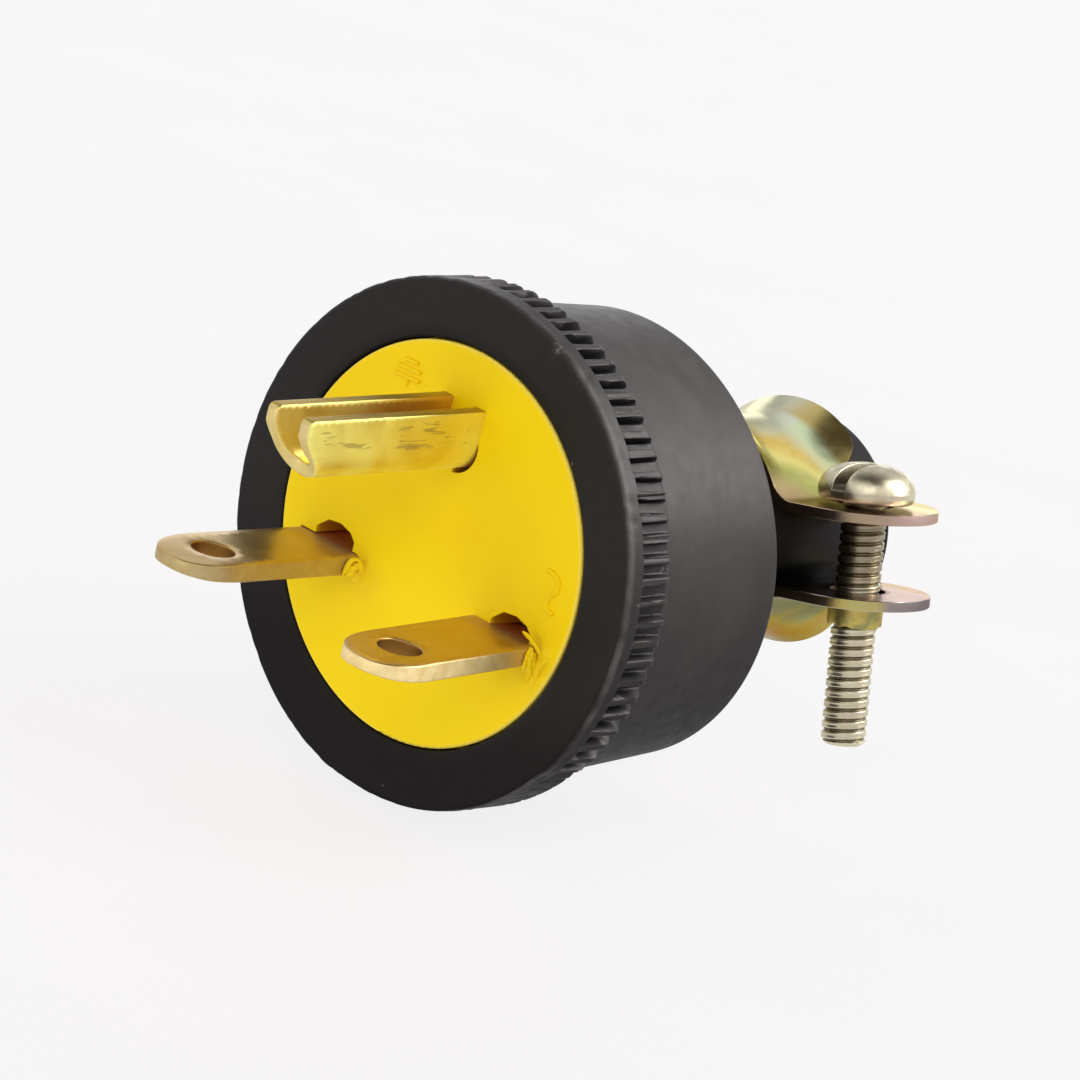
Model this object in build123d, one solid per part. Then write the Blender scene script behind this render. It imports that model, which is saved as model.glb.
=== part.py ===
from build123d import *
from math import sqrt, cos, sin, radians, hypot, tan, pi
import os

# Rewirable rubber plug with two flat blades in line, a folded earth pin and a
# two-strap cord clamp.  Millimetres.  Origin at the centre of the mating face,
# +Y along the plug to the cord end, +Z towards the earth pin, X along the line
# of the two blades.

# ------------------------------------------------------------ driving dimensions
flange_r = 19.8            # outer radius of the front flange
flange_edge = 0.35         # rounding of the flange's front edge
grip_front_y = 1.6         # smooth strip in front of the grip ribs
grip_full_y = 4.4          # ribs keep the full radius up to here
grip_end_y = 5.9           # ribs have run out into the barrel here
grip_count = 80            # grip slots round the flange
grip_slot_w = 0.82         # width of one slot
grip_phase = 1.9           # first slot above the X axis, degrees
grip_floor_r = 18.85       # radius of the slot floors
barrel_front_r = 17.8      # barrel radius behind the flange
barrel_rear_r = 17.0       # barrel radius at its rear edge
barrel_end_y = 19.0        # rear face of the barrel
barrel_edge = 0.45         # rounding of the barrel's rear edge
neck_r = 8.55              # cord neck
neck_end_y = 43.0
neck_edge = 0.45
bore_r = 5.0               # cord bore in the neck
bore_start_y = 18.6        # the funnel has narrowed to the bore here
cavity_r = 14.6            # wiring space
cavity_end_y = 16.6
funnel_r = 6.6             # bore mouth inside the wiring space
mouth_r = 15.03            # front opening of the shell
groove_r = 16.5            # groove that takes the carrier's shoulder
groove_y0, groove_y1 = 2.4, 5.0

carrier_r = 14.9           # visible face of the carrier
carrier_edge = 0.22
shoulder_r = 16.4
shoulder_y0, shoulder_y1 = 2.45, 4.95
carrier_rear_r = 14.4
carrier_rear_y = 6.0
barrier_t = 1.2            # walls between the terminals
barrier_end_y = 11.5
barrier_top_z = 2.6

blade_x = 9.25             # half the spacing of the blades
blade_z = -4.1             # plane of the blades below the axis
blade_w, blade_t = 6.35, 1.5
blade_out = 16.45          # how far the blades stand out of the face
blade_nose = 2.1           # height of the nose arc
blade_hole_r, blade_hole_back = 1.75, 4.4   # hole, and its place behind the nose
blade_corner = 1.6          # rounding where the nose meets the long edges
blade_bevel = 0.18         # broken edges
slot_gap = 0.06            # carrier slot round a contact
relief_x0, relief_x1, relief_h, relief_d = -1.7, 2.3, 1.6, 3.2

tail_y0, tail_y1 = 6.05, 11.3   # terminal tails behind the carrier
tail_w = 8.0
terminal_y = 8.9
terminal_hole_r = 1.5

earth_w = 4.35             # folded earth pin, outside width
earth_z0, earth_z1 = 6.1, 11.0
earth_wall = 1.0
earth_fold_r = 2.0         # outside radius of the fold
earth_out = 17.9
earth_tail_w = 7.2

term_head_r, term_head_h = 2.7, 2.0
term_shank_r, term_shank_l = 1.45, 3.25
term_slot_w, term_slot_d = 0.9, 0.9

clamp_angle = -12.2        # clamp turned on the neck, about Y
clamp_y = 33.95            # middle of the straps
strap_half_w = 5.55        # half width of a strap, radius of its ears
strap_rear_v = 5.65
strap_t = 0.8
saddle_r = 8.85            # inside of the saddle
flare_r = 2.4              # bend from saddle to ear, at mid thickness
upper_ear_n = 2.75         # underside of the upper ears above the axis
lower_ear_n = -3.2         # top of the lower ears below the axis
screw_h = 13.0             # screws beside the axis
upper_hole_r = 2.1
tapped_r = 1.80
collar_r, collar_h = 2.35, 1.1

screw_r = 1.75
screw_seat_n = 3.9         # underside of the screw heads
screw_tip_n = -15.15
screw_head_r, screw_head_h = 3.7, 2.8
screw_slot_w, screw_slot_d = 1.1, 1.35
screw_slot_angle = 92.0    # direction of the near screw's slot seen from its head
far_slot_angle = 40.0


# ------------------------------------------------------------ helpers
def outline(pts):
    """Closed face from (x, y, corner radius) points, in order."""
    n = len(pts)
    legs = []
    for i in range(n):
        x, y, r = pts[i]
        if r <= 0:
            legs.append(((x, y), None, (x, y)))
            continue
        ax, ay = pts[i - 1][0] - x, pts[i - 1][1] - y
        bx, by = pts[(i + 1) % n][0] - x, pts[(i + 1) % n][1] - y
        la, lb = hypot(ax, ay), hypot(bx, by)
        ax, ay, bx, by = ax / la, ay / la, bx / lb, by / lb
        c = ax * bx + ay * by
        half_tan = sqrt((1 - c) / (1 + c))
        t = r / half_tan
        mx, my = ax + bx, ay + by
        lm = hypot(mx, my)
        mx, my = mx / lm, my / lm
        half_sin = sqrt((1 - c) / 2)
        d = r / half_sin - r
        legs.append(((x + ax * t, y + ay * t), (x + mx * d, y + my * d), (x + bx * t, y + by * t)))
    edges = []
    for i in range(n):
        a, m, b = legs[i]
        if m is not None:
            edges.append(ThreePointArc(a, m, b))
        nxt = legs[(i + 1) % n][0]
        if hypot(nxt[0] - b[0], nxt[1] - b[1]) > 1e-6:
            edges.append(Line(b, nxt))
    return make_face(edges)


def turned(pts):
    """Solid of revolution about Y from (radius, y, corner radius) points."""
    return revolve(outline(pts), Axis.Y)


def prism_y(face, y0, y1):
    """Face drawn in (x, z) extruded from y0 to y1."""
    return extrude(Plane.XZ.offset(-y1) * face, amount=y1 - y0)


def box(x0, x1, y0, y1, z0, z1):
    return Pos((x0 + x1) / 2, (y0 + y1) / 2, (z0 + z1) / 2) * Box(x1 - x0, y1 - y0, z1 - z0)


def cyl_z(r, x, y, z0, z1):
    return Pos(x, y, (z0 + z1) / 2) * Cylinder(r, z1 - z0)


# ------------------------------------------------------------ rubber shell
outer = turned([
    (0, 0, 0), (flange_r, 0, flange_edge), (flange_r, grip_full_y, 0.4),
    (barrel_front_r, grip_end_y, 0.3), (barrel_rear_r, barrel_end_y, barrel_edge),
    (neck_r, barrel_end_y, 0.8), (neck_r, neck_end_y, neck_edge), (0, neck_end_y, 0)])
inner = turned([
    (0, -1, 0), (mouth_r, -1, 0), (mouth_r, groove_y0, 0), (groove_r, groove_y0, 0),
    (groove_r, groove_y1, 0), (cavity_r, groove_y1, 0), (cavity_r, cavity_end_y, 1.0),
    (funnel_r, cavity_end_y, 0), (bore_r, bore_start_y, 0), (bore_r, neck_end_y + 1, 0),
    (0, neck_end_y + 1, 0)])
rubber_shell = outer - inner
slots = []
for i in range(grip_count):
    slot = box(grip_floor_r, flange_r + 1, grip_front_y, grip_end_y + 0.5,
               -grip_slot_w / 2, grip_slot_w / 2)
    slots.append(slot.rotate(Axis.Y, 360 * i / grip_count - grip_phase))
rubber_shell = rubber_shell - slots


# ------------------------------------------------------------ contacts
def blade(x):
    hw = blade_w / 2
    blade_hole_y = blade_hole_back - blade_out
    body = make_face([
        Line((x - hw, tail_y0 + 0.2), (x - hw, -blade_out + blade_nose)),
        ThreePointArc((x - hw, -blade_out + blade_nose), (x, -blade_out), (x + hw, -blade_out + blade_nose)),
        Line((x + hw, -blade_out + blade_nose), (x + hw, tail_y0 + 0.2)),
        Line((x + hw, tail_y0 + 0.2), (x - hw, tail_y0 + 0.2))])
    corners = [v for v in body.vertices() if abs(v.Y + blade_out - blade_nose) < 0.01]
    body = fillet(corners, blade_corner)
    solid = extrude(Pos(0, 0, blade_z - blade_t / 2) * body, amount=blade_t)
    around = [e for e in solid.edges() if abs(e.center().Z - blade_z) > blade_t * 0.4
              and e.center().Y < tail_y0]
    solid = chamfer(around, blade_bevel)
    tail = extrude(Pos(0, 0, blade_z - blade_t / 2) * outline([
        (x - tail_w / 2, tail_y0, 0), (x + tail_w / 2, tail_y0, 0),
        (x + tail_w / 2, tail_y1, 0.8), (x - tail_w / 2, tail_y1, 0.8)]), amount=blade_t)
    solid = solid + tail
    solid = solid - cyl_z(blade_hole_r, x, blade_hole_y, blade_z - 2, blade_z + 2)
    rim = [e for e in solid.edges() if e.geom_type == GeomType.CIRCLE
           and abs(e.radius - blade_hole_r) < 0.01 and abs(e.center().Y - blade_hole_y) < 0.5]
    solid = chamfer(rim, 0.15)
    return solid - cyl_z(terminal_hole_r, x, terminal_y, blade_z - 2, blade_z + 2)


line_blade_left = blade(-blade_x)
line_blade_right = blade(blade_x)


def earth_section(grow, dx=0.0, dz=0.0):
    """Outline of the folded strip, grown outwards and inwards by a gap."""
    w = earth_w / 2 + grow
    iw = earth_w / 2 - earth_wall - grow
    z0, z1 = earth_z0 - grow, earth_z1 + grow
    iz = earth_z0 + earth_wall + grow
    ro, ri = earth_fold_r + grow, max(earth_fold_r - earth_wall - grow, 0.3)
    face = outline([
        (-w, z1, 0), (-iw, z1, 0), (-iw, iz, ri), (iw, iz, ri), (iw, z1, 0), (w, z1, 0),
        (w, z0, ro), (-w, z0, ro)])
    return Pos(dx, dz) * face


earth_pin = prism_y(earth_section(0), -earth_out, carrier_rear_y + 0.05)
# nose: the fold is cut back below and the walls' corners are broken
nose_cut = extrude(Plane.YZ.offset(-4) * outline([
    (-earth_out - 1, 9.6, 0), (-earth_out, 9.6, 0.8), (-earth_out + 2.8, earth_z0 - 0.35, 0),
    (-earth_out - 1, earth_z0 - 0.35, 0)]), amount=8)
earth_pin = earth_pin - nose_cut
top_corner = [e for e in earth_pin.edges() if abs(e.center().Y + earth_out) < 0.01
              and abs(e.center().Z - earth_z1) < 0.01]
earth_pin = fillet(top_corner, 0.45)
earth_pin = earth_pin + box(-earth_w / 2 + 1.6, earth_w / 2 - 1.6, carrier_rear_y - 0.5, tail_y0 + 0.5,
                            earth_z0, earth_z0 + earth_wall)
earth_tail = extrude(Pos(0, 0, earth_z0) * outline([
    (-earth_tail_w / 2, tail_y0, 0), (earth_tail_w / 2, tail_y0, 0),
    (earth_tail_w / 2, tail_y1, 0.8), (-earth_tail_w / 2, tail_y1, 0.8)]), amount=earth_wall)
earth_pin = earth_pin + earth_tail
earth_pin = earth_pin - cyl_z(terminal_hole_r, 0, terminal_y, earth_z0 - 1, earth_z0 + earth_wall + 0.5)

# ------------------------------------------------------------ contact carrier
contact_carrier = turned([
    (0, 0, 0), (carrier_r, 0, carrier_edge), (carrier_r, shoulder_y0, 0),
    (shoulder_r, shoulder_y0, 0.25), (shoulder_r, shoulder_y1, 0.25), (carrier_rear_r, shoulder_y1, 0),
    (carrier_rear_r, carrier_rear_y, 0), (0, carrier_rear_y, 0)])
barriers = box(-barrier_t / 2, barrier_t / 2, carrier_rear_y - 0.5, barrier_end_y, -15, barrier_top_z - 0.2)
barriers = barriers + box(-15, 15, carrier_rear_y - 0.5, barrier_end_y, barrier_top_z - barrier_t, barrier_top_z)
barriers = barriers & turned([(0, 5, 0), (carrier_rear_r - 0.2, 5, 0), (carrier_rear_r - 0.2, 13, 0), (0, 13, 0)])
contact_carrier = contact_carrier + barriers
for x in (-blade_x, blade_x):
    hw, ht = blade_w / 2 + slot_gap, blade_t / 2 + slot_gap
    contact_carrier = contact_carrier - box(x - hw, x + hw, -1, carrier_rear_y + 0.02, blade_z - ht, blade_z + ht)
    relief = outline([
        (x + relief_x0, blade_z, 0), (x + relief_x1, blade_z, 0),
        (x + relief_x1, blade_z + blade_t / 2 + relief_h - 0.85, 0.3),
        (x + relief_x1 - 0.6, blade_z + blade_t / 2 + relief_h - 0.3, 0.4),
        (x + relief_x0 + 2.3, blade_z + blade_t / 2 + relief_h, 0.4),
        (x + relief_x0 + 1.0, blade_z + blade_t / 2 + relief_h - 0.15, 0.4),
        (x + relief_x0, blade_z + blade_t / 2 + relief_h - 1.0, 0.3)])
    contact_carrier = contact_carrier - prism_y(relief, -1, relief_d)
contact_carrier = contact_carrier - prism_y(earth_section(slot_gap), -1, carrier_rear_y + 1)
# the moulded slot stands off the lower right of the fold a little, as a crescent
fold_x, fold_z = earth_w / 2 - earth_fold_r, earth_z0 + earth_fold_r
crescent = Pos(fold_x + 0.17, fold_z - 0.20) * Circle(earth_fold_r + 0.12)
crescent = crescent - Pos(fold_x, fold_z) * Circle(earth_fold_r - 0.05)
crescent = crescent - Pos(-1, fold_z) * Rectangle(3, 6) - Pos(0, fold_z + 3) * Rectangle(earth_w - 0.1, 6)
shadow_gap = prism_y(crescent, -1, 2.2)
contact_carrier = contact_carrier - shadow_gap


# ------------------------------------------------------------ terminal screws
def terminal_screw(x, seat_z, up):
    """Binding screw; up = +1 when the head points to +Z."""
    head = cyl_z(term_head_r, x, terminal_y, seat_z, seat_z + up * term_head_h) if up > 0 else \
        cyl_z(term_head_r, x, terminal_y, seat_z - term_head_h, seat_z)
    top = seat_z + up * term_head_h
    rim = [e for e in head.edges() if e.geom_type == GeomType.CIRCLE and abs(e.center().Z - top) < 0.01]
    head = fillet(rim, 0.6)
    z0, z1 = sorted((seat_z, seat_z - up * term_shank_l))
    shank = cyl_z(term_shank_r, x, terminal_y, z0, z1)
    s0, s1 = sorted((top + up, top - up * term_slot_d))
    slot = box(x - 4, x + 4, terminal_y - term_slot_w / 2, terminal_y + term_slot_w / 2, s0, s1)
    return head + shank - slot


line_terminal_screw_left = terminal_screw(-blade_x, blade_z - blade_t / 2, -1)
line_terminal_screw_right = terminal_screw(blade_x, blade_z - blade_t / 2, -1)
earth_terminal_screw = terminal_screw(0, earth_z0 + earth_wall, 1)


# ------------------------------------------------------------ cord clamp, drawn square and then turned on the neck
def strap(ear_low, hole_r):
    """Upper-type strap: saddle over the neck, ears with their underside at ear_low."""
    half = strap_t / 2
    rm = saddle_r + half
    nm = ear_low + half
    nc = nm + flare_r
    hc = sqrt((rm + flare_r) ** 2 - nc ** 2)
    ux, uz = hc / (rm + flare_r), nc / (rm + flare_r)
    mx, mz = -ux, -uz - 1
    lm = hypot(mx, mz)
    mx, mz = mx / lm, mz / lm
    end = screw_h + strap_half_w + 1
    ro, ri, fo, fi = rm + half, rm - half, flare_r - half, flare_r + half
    face = make_face([
        Line((end, nm - half), (end, nm + half)),
        Line((end, nm + half), (hc, nm + half)),
        ThreePointArc((hc, nm + half), (hc + mx * fo, nc + mz * fo), (ro * ux, ro * uz)),
        ThreePointArc((ro * ux, ro * uz), (0, ro), (-ro * ux, ro * uz)),
        ThreePointArc((-ro * ux, ro * uz), (-hc - mx * fo, nc + mz * fo), (-hc, nm + half)),
        Line((-hc, nm + half), (-end, nm + half)),
        Line((-end, nm + half), (-end, nm - half)),
        Line((-end, nm - half), (-hc, nm - half)),
        ThreePointArc((-hc, nm - half), (-hc - mx * fi, nc + mz * fi), (-ri * ux, ri * uz)),
        ThreePointArc((-ri * ux, ri * uz), (0, ri), (ri * ux, ri * uz)),
        ThreePointArc((ri * ux, ri * uz), (hc + mx * fi, nc + mz * fi), (hc, nm - half)),
        Line((hc, nm - half), (end, nm - half))])
    band = prism_y(face, clamp_y - 8, clamp_y + 8)
    w = strap_half_w
    plan = outline([
        (-screw_h, -w, 0), (screw_h, -w, 0), (screw_h, 1.8, 0), (9.3, 1.8, 0), (6.2, strap_rear_v, 1.6),
        (-6.2, strap_rear_v, 1.6), (-9.3, 1.8, 0), (-screw_h, 1.8, 0)])
    plan = plan + Pos(screw_h, 0) * Circle(w) + Pos(-screw_h, 0) * Circle(w)
    waist = [v for v in plan.vertices() if 2.2 < v.Y < 4.0 and 7.5 < abs(v.X) < 9.5]
    plan = fillet(waist, 0.5)
    blank = extrude(Pos(0, clamp_y, -25) * plan, amount=50)
    body = band & blank
    for h in (-screw_h, screw_h):
        body = body - cyl_z(hole_r, h, clamp_y, ear_low - 1, ear_low + strap_t + 1)
    return body


upper_clamp_strap = strap(upper_ear_n, upper_hole_r)
lower_flat = strap(-lower_ear_n, tapped_r)
lower_clamp_strap = mirror(lower_flat, Plane.XY)
ear_bottom = lower_ear_n - strap_t
for h in (-screw_h, screw_h):
    collar = cyl_z(collar_r, h, clamp_y, ear_bottom - collar_h, ear_bottom + 0.05)
    lower_clamp_strap = lower_clamp_strap + collar - cyl_z(tapped_r, h, clamp_y, ear_bottom - 3, lower_ear_n + 1)
    mouth = Pos(h, clamp_y, lower_ear_n - 0.35) * Cone(tapped_r, tapped_r + 0.62, 0.7)
    lower_clamp_strap = lower_clamp_strap - mouth


def clamp_screw(h, slot_angle):
    head = Pos(h, clamp_y, screw_seat_n) * Rot(90, 0, 0) * turned([
        (0, 0, 0), (screw_head_r - 0.15, 0, 0.1), (screw_head_r, 0.8, 0.5),
        (screw_head_r - 0.35, 1.7, 1.2), (2.0, screw_head_h - 0.1, 1.5), (0, screw_head_h, 0)])
    shank = cyl_z(screw_r, h, clamp_y, screw_tip_n, screw_seat_n + 0.2)
    tip = [e for e in shank.edges() if e.geom_type == GeomType.CIRCLE and abs(e.center().Z - screw_tip_n) < 0.01]
    shank = chamfer(tip, 0.35)
    slot = Pos(h, clamp_y, screw_seat_n + screw_head_h - screw_slot_d / 2 + 0.5) * Rot(0, 0, slot_angle) * \
        Box(12, screw_slot_w, screw_slot_d + 1)
    return head + shank - slot


clamp_screw_near = clamp_screw(screw_h, screw_slot_angle)
clamp_screw_far = clamp_screw(-screw_h, far_slot_angle)

upper_clamp_strap = upper_clamp_strap.rotate(Axis.Y, clamp_angle)
lower_clamp_strap = lower_clamp_strap.rotate(Axis.Y, clamp_angle)
clamp_screw_near = clamp_screw_near.rotate(Axis.Y, clamp_angle)
clamp_screw_far = clamp_screw_far.rotate(Axis.Y, clamp_angle)

# ------------------------------------------------------------ one file per piece
os.makedirs("parts", exist_ok=True)
pieces = {
    "rubber_shell": rubber_shell,
    "contact_carrier": contact_carrier,
    "line_blade_left": line_blade_left,
    "line_blade_right": line_blade_right,
    "earth_pin": earth_pin,
    "line_terminal_screw_left": line_terminal_screw_left,
    "line_terminal_screw_right": line_terminal_screw_right,
    "earth_terminal_screw": earth_terminal_screw,
    "upper_clamp_strap": upper_clamp_strap,
    "lower_clamp_strap": lower_clamp_strap,
    "clamp_screw_near": clamp_screw_near,
    "clamp_screw_far": clamp_screw_far,
}
for name, shape in pieces.items():
    export_step(shape, f"parts/{name}.step")
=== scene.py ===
import math

import bpy
import numpy as np
from mathutils import Matrix, Vector
from mathutils import geometry as mgeo


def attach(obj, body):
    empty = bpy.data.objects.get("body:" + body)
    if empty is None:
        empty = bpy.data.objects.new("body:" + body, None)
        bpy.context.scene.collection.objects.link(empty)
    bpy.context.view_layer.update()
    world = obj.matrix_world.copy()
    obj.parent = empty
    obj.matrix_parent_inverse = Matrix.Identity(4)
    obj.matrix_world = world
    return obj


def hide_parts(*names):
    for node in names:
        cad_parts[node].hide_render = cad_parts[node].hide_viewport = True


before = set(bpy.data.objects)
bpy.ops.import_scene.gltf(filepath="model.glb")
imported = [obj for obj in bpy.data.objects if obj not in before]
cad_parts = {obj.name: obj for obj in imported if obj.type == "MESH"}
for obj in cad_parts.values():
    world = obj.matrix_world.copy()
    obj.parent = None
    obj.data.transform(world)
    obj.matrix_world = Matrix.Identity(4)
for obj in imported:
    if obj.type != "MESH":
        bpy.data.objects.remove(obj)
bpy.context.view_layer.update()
scene = bpy.context.scene
MM = 0.001
rng = np.random.default_rng(11)

# Sizes in millimetres, in the part's own frame: Y along the plug, Z to the earth pin.
CLAMP_A = math.radians(-12.2)
CLAMP_Y = 33.95
LAT = np.array([math.cos(CLAMP_A), 0.0, -math.sin(CLAMP_A)])
NRM = np.array([math.sin(CLAMP_A), 0.0, math.cos(CLAMP_A)])
AXL = np.array([0.0, 1.0, 0.0])


# ------------------------------------------------------------ mesh helpers
def new_object(name, verts, faces, sharp_deg=40.0):
    me = bpy.data.meshes.new(name)
    me.from_pydata((np.asarray(verts, float) * MM).tolist(), [], faces)
    me.validate()
    me.update()
    me.shade_smooth()
    me.set_sharp_from_angle(angle=math.radians(sharp_deg))
    ob = bpy.data.objects.new(name, me)
    scene.collection.objects.link(ob)
    return ob


def stitch(faces, a0, ang_a, b0, ang_b):
    """Faces between two closed rings that start at vertex a0 and b0; their angles rise round the ring."""
    n, m = len(ang_a), len(ang_b)
    if n == m:
        for i in range(n):
            k = (i + 1) % n
            faces.append((a0 + i, a0 + k, b0 + k, b0 + i))
        return
    i = j = 0
    while i < n or j < m:
        na = ang_a[i + 1] if i + 1 < n else ang_a[0] + 2 * math.pi
        nb = ang_b[j + 1] if j + 1 < m else ang_b[0] + 2 * math.pi
        if j >= m or (i < n and na <= nb):
            faces.append((a0 + i % n, a0 + (i + 1) % n, b0 + j % m))
            i += 1
        else:
            faces.append((a0 + i % n, b0 + (j + 1) % m, b0 + j % m))
            j += 1


def arc(cx, cy, r, a0, a1, n):
    return [(cx + r * math.cos(math.radians(a0 + (a1 - a0) * k / n)),
             cy + r * math.sin(math.radians(a0 + (a1 - a0) * k / n))) for k in range(n + 1)]


def closed_area(p):
    p = np.asarray(p)
    q = np.roll(p, -1, 0)
    return 0.5 * float((p[:, 0] * q[:, 1] - q[:, 0] * p[:, 1]).sum())


def inside(points, loop):
    """Even-odd test of many points against one closed loop."""
    x, y = points[:, 0][:, None], points[:, 1][:, None]
    a = np.asarray(loop)
    b = np.roll(a, -1, 0)
    crosses = ((a[:, 1] > y) != (b[:, 1] > y)) & (
        x < (b[:, 0] - a[:, 0]) * (y - a[:, 1]) / (b[:, 1] - a[:, 1] + 1e-30) + a[:, 0])
    return crosses.sum(1) % 2 == 1


def loop_distance(points, loop):
    a = np.asarray(loop)
    b = np.roll(a, -1, 0)
    ab = b - a
    best = np.full(len(points), 1e9)
    for k in range(len(a)):
        t = np.clip(((points - a[k]) @ ab[k]) / max(ab[k] @ ab[k], 1e-12), 0, 1)
        best = np.minimum(best, np.hypot(*(points - a[k] - t[:, None] * ab[k]).T))
    return best


def offset(loop, d, into_left=True):
    """Loop moved by d along its left normals, mitred."""
    p = np.asarray(loop, float)
    e = np.roll(p, -1, 0) - p
    e /= np.linalg.norm(e, axis=1)[:, None]
    n = np.stack([-e[:, 1], e[:, 0]], 1)
    pn = np.roll(n, 1, 0)
    s = n + pn
    s /= np.maximum((s * s).sum(1), 0.5)[:, None]
    return p + 2 * s * d * (1 if into_left else -1) * 0.5 * 2 / 2


def resample(pts, step):
    """Closed loop with points about step apart, the given corners kept."""
    out = []
    n = len(pts)
    for i in range(n):
        a, b = np.array(pts[i], float), np.array(pts[(i + 1) % n], float)
        k = max(1, int(math.ceil(np.linalg.norm(b - a) / step)))
        for q in range(k):
            out.append(a + (b - a) * q / k)
    return np.array(out)


def fill(outer, holes, step):
    """Triangles that fill outer less holes, with an even spread of points inside. Returns points, triangles."""
    loops = [outer] + list(holes)
    pts = [np.asarray(p) for p in loops]
    edges, base = [], 0
    for p in pts:
        n = len(p)
        edges += [(base + i, base + (i + 1) % n) for i in range(n)]
        base += n
    lo, hi = pts[0].min(0), pts[0].max(0)
    gx = np.arange(lo[0], hi[0] + step, step)
    gy = np.arange(lo[1], hi[1] + step, step * 0.866)
    grid = np.array([(x + (step / 2 if k % 2 else 0), y) for k, y in enumerate(gy) for x in gx])
    keep = inside(grid, pts[0]) & (loop_distance(grid, pts[0]) > 0.45 * step)
    for p in pts[1:]:
        keep &= ~inside(grid, p) & (loop_distance(grid, p) > 0.45 * step)
    allp = np.vstack(pts + [grid[keep]])
    got = mgeo.delaunay_2d_cdt([Vector(p) for p in allp], edges, [], 0, 1e-7)
    tris = np.array([f for f in got[2] if len(f) == 3])
    out = np.array([tuple(v) for v in got[0]])
    mid = out[tris].mean(1)
    ok = inside(mid, pts[0])
    for p in pts[1:]:
        ok &= ~inside(mid, p)
    tris = tris[ok]
    a, b, c = out[tris[:, 0]], out[tris[:, 1]], out[tris[:, 2]]
    turn = (b[:, 0] - a[:, 0]) * (c[:, 1] - a[:, 1]) - (b[:, 1] - a[:, 1]) * (c[:, 0] - a[:, 0])
    tris[turn < 0] = tris[turn < 0][:, ::-1]
    return out, tris[np.abs(turn) > 1e-10], len(allp) == len(out)


def plate(outer, holes, place, t, edge, step, hole_profiles=None):
    """Sheet of thickness t with rounded edges. outer runs anticlockwise, each hole too. place(points, height) puts
    sheet coordinates and height over the middle surface in the part's frame. Returns vertices and faces."""
    rounded = [(edge, t / 2), (edge * (1 - math.sin(math.radians(55))), t / 2 - edge * (1 - math.cos(math.radians(55)))),
               (0.0, t / 2 - edge), (0.0, -t / 2 + edge),
               (edge * (1 - math.sin(math.radians(55))), -t / 2 + edge * (1 - math.cos(math.radians(55)))), (edge, -t / 2)]
    loops = [(np.asarray(outer), rounded, True)]
    for k, h in enumerate(holes):
        loops.append((np.asarray(h), (hole_profiles[k] if hole_profiles else rounded), False))
    verts, faces = [], []

    def ring(loop, inset, height, left):
        start = len(verts)
        p = offset(loop, inset, left)
        hh = height(loop) if callable(height) else np.full(len(p), height)
        verts.extend(place(p, hh).tolist())
        return start, p

    cap = {}
    rings = []
    for loop, prof, left in loops:
        rows = [ring(loop, i, h, left) for i, h in prof]
        rings.append((len(loop), rows, left))
        for (a, _), (b, _) in zip(rows[:-1], rows[1:]):
            n = len(loop)
            for i in range(n):
                k = (i + 1) % n
                faces.append((a + i, b + i, b + k, a + k) if left else (a + i, a + k, b + k, b + i))
    for side in (0, -1):
        o = rings[0][1][side][1]
        hs = [r[1][side][1] for r in rings[1:]]
        pts, tris, exact = fill(o, hs, step)
        known = [r[1][side][0] + i for r in rings for i in range(r[0])]
        extra = len(verts)
        height = loops[0][1][side][1]
        rest = pts[len(known):]
        if len(rest):
            verts.extend(place(rest, np.full(len(rest), height)).tolist())
        index = known + list(range(extra, extra + len(rest)))
        for a, b, c in tris:
            f = (index[a], index[b], index[c])
            faces.append(f if side == 0 else f[::-1])
    return np.array(verts), faces


def joined(*parts):
    verts, faces, base = [], [], 0
    for v, f in parts:
        verts.append(np.asarray(v))
        faces += [tuple(i + base for i in x) for x in f]
        base += len(v)
    return np.vstack(verts), faces


def circle(cx, cy, r, n, start=0.0):
    a = start + np.arange(n) * 2 * math.pi / n
    return np.stack([cx + r * np.cos(a), cy + r * np.sin(a)], 1)


# ------------------------------------------------------------ rubber shell
PROFILE_Y = (0.0, 4.15, 4.3, 4.5, 4.65, 5.72, 5.85, 6.0, 6.15, 18.63)
PROFILE_R = (19.6, 19.6, 19.57, 19.47, 19.32, 17.95, 17.86, 17.80, 17.77, 16.95)
BARREL_END, BARREL_EDGE = 19.06, 0.43


def shell_profile(y):
    """Outside radius of the flange, the rib backs and the barrel."""
    return float(np.interp(y, PROFILE_Y, PROFILE_R))


def shell_centre(y):
    """The soft moulding sits a little off the axis: flange low and to the left, barrel end to the right."""
    return float(np.interp(y, (0, 6.15, 19.06), (-0.2, 0.05, 0.23))), float(np.interp(y, (0, 6.15, 19.06), (-0.2, -0.08, 0.25)))


PITCH = 2 * math.pi / 80
PHASE = math.radians(1.9)
SLOT_D = np.array([0.0, 0.20, 0.33, 0.385, 0.43, 0.47, 0.53, 0.62, 0.7775])
SLOT_F = np.array([1.0, 1.0, 0.985, 0.88, 0.12, 0.04, 0.012, 0.0, 0.0])
half = [0.0, 0.20, 0.33, 0.385, 0.43, 0.47, 0.53, 0.62]
cols = np.array([-d for d in half[:0:-1]] + half + [0.7775]) / 19.8
grip_ang = np.sort(np.concatenate([(i * PITCH + PHASE + cols) for i in range(80)]))
slot_wide = 1.1 + 0.08 * rng.standard_normal(80)
slot_deep = np.clip(1 + 0.07 * rng.standard_normal(80), 0.82, 1.1)
slot_from = 1.6 + 0.07 * rng.standard_normal(80)
slot_skew = 0.03 * rng.standard_normal(80)
rib_low = np.abs(0.06 * rng.standard_normal(81))


def run_out(ang):
    """1 where the ribs have filled in, low on the flange beside the mould's parting line."""
    deg = (np.degrees(ang) + 180) % 360 - 180
    w = np.clip((-34 - deg) / 6, 0, 1) * np.clip((deg + 104) / 10, 0, 1)
    return w * w * (3 - 2 * w)


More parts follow.
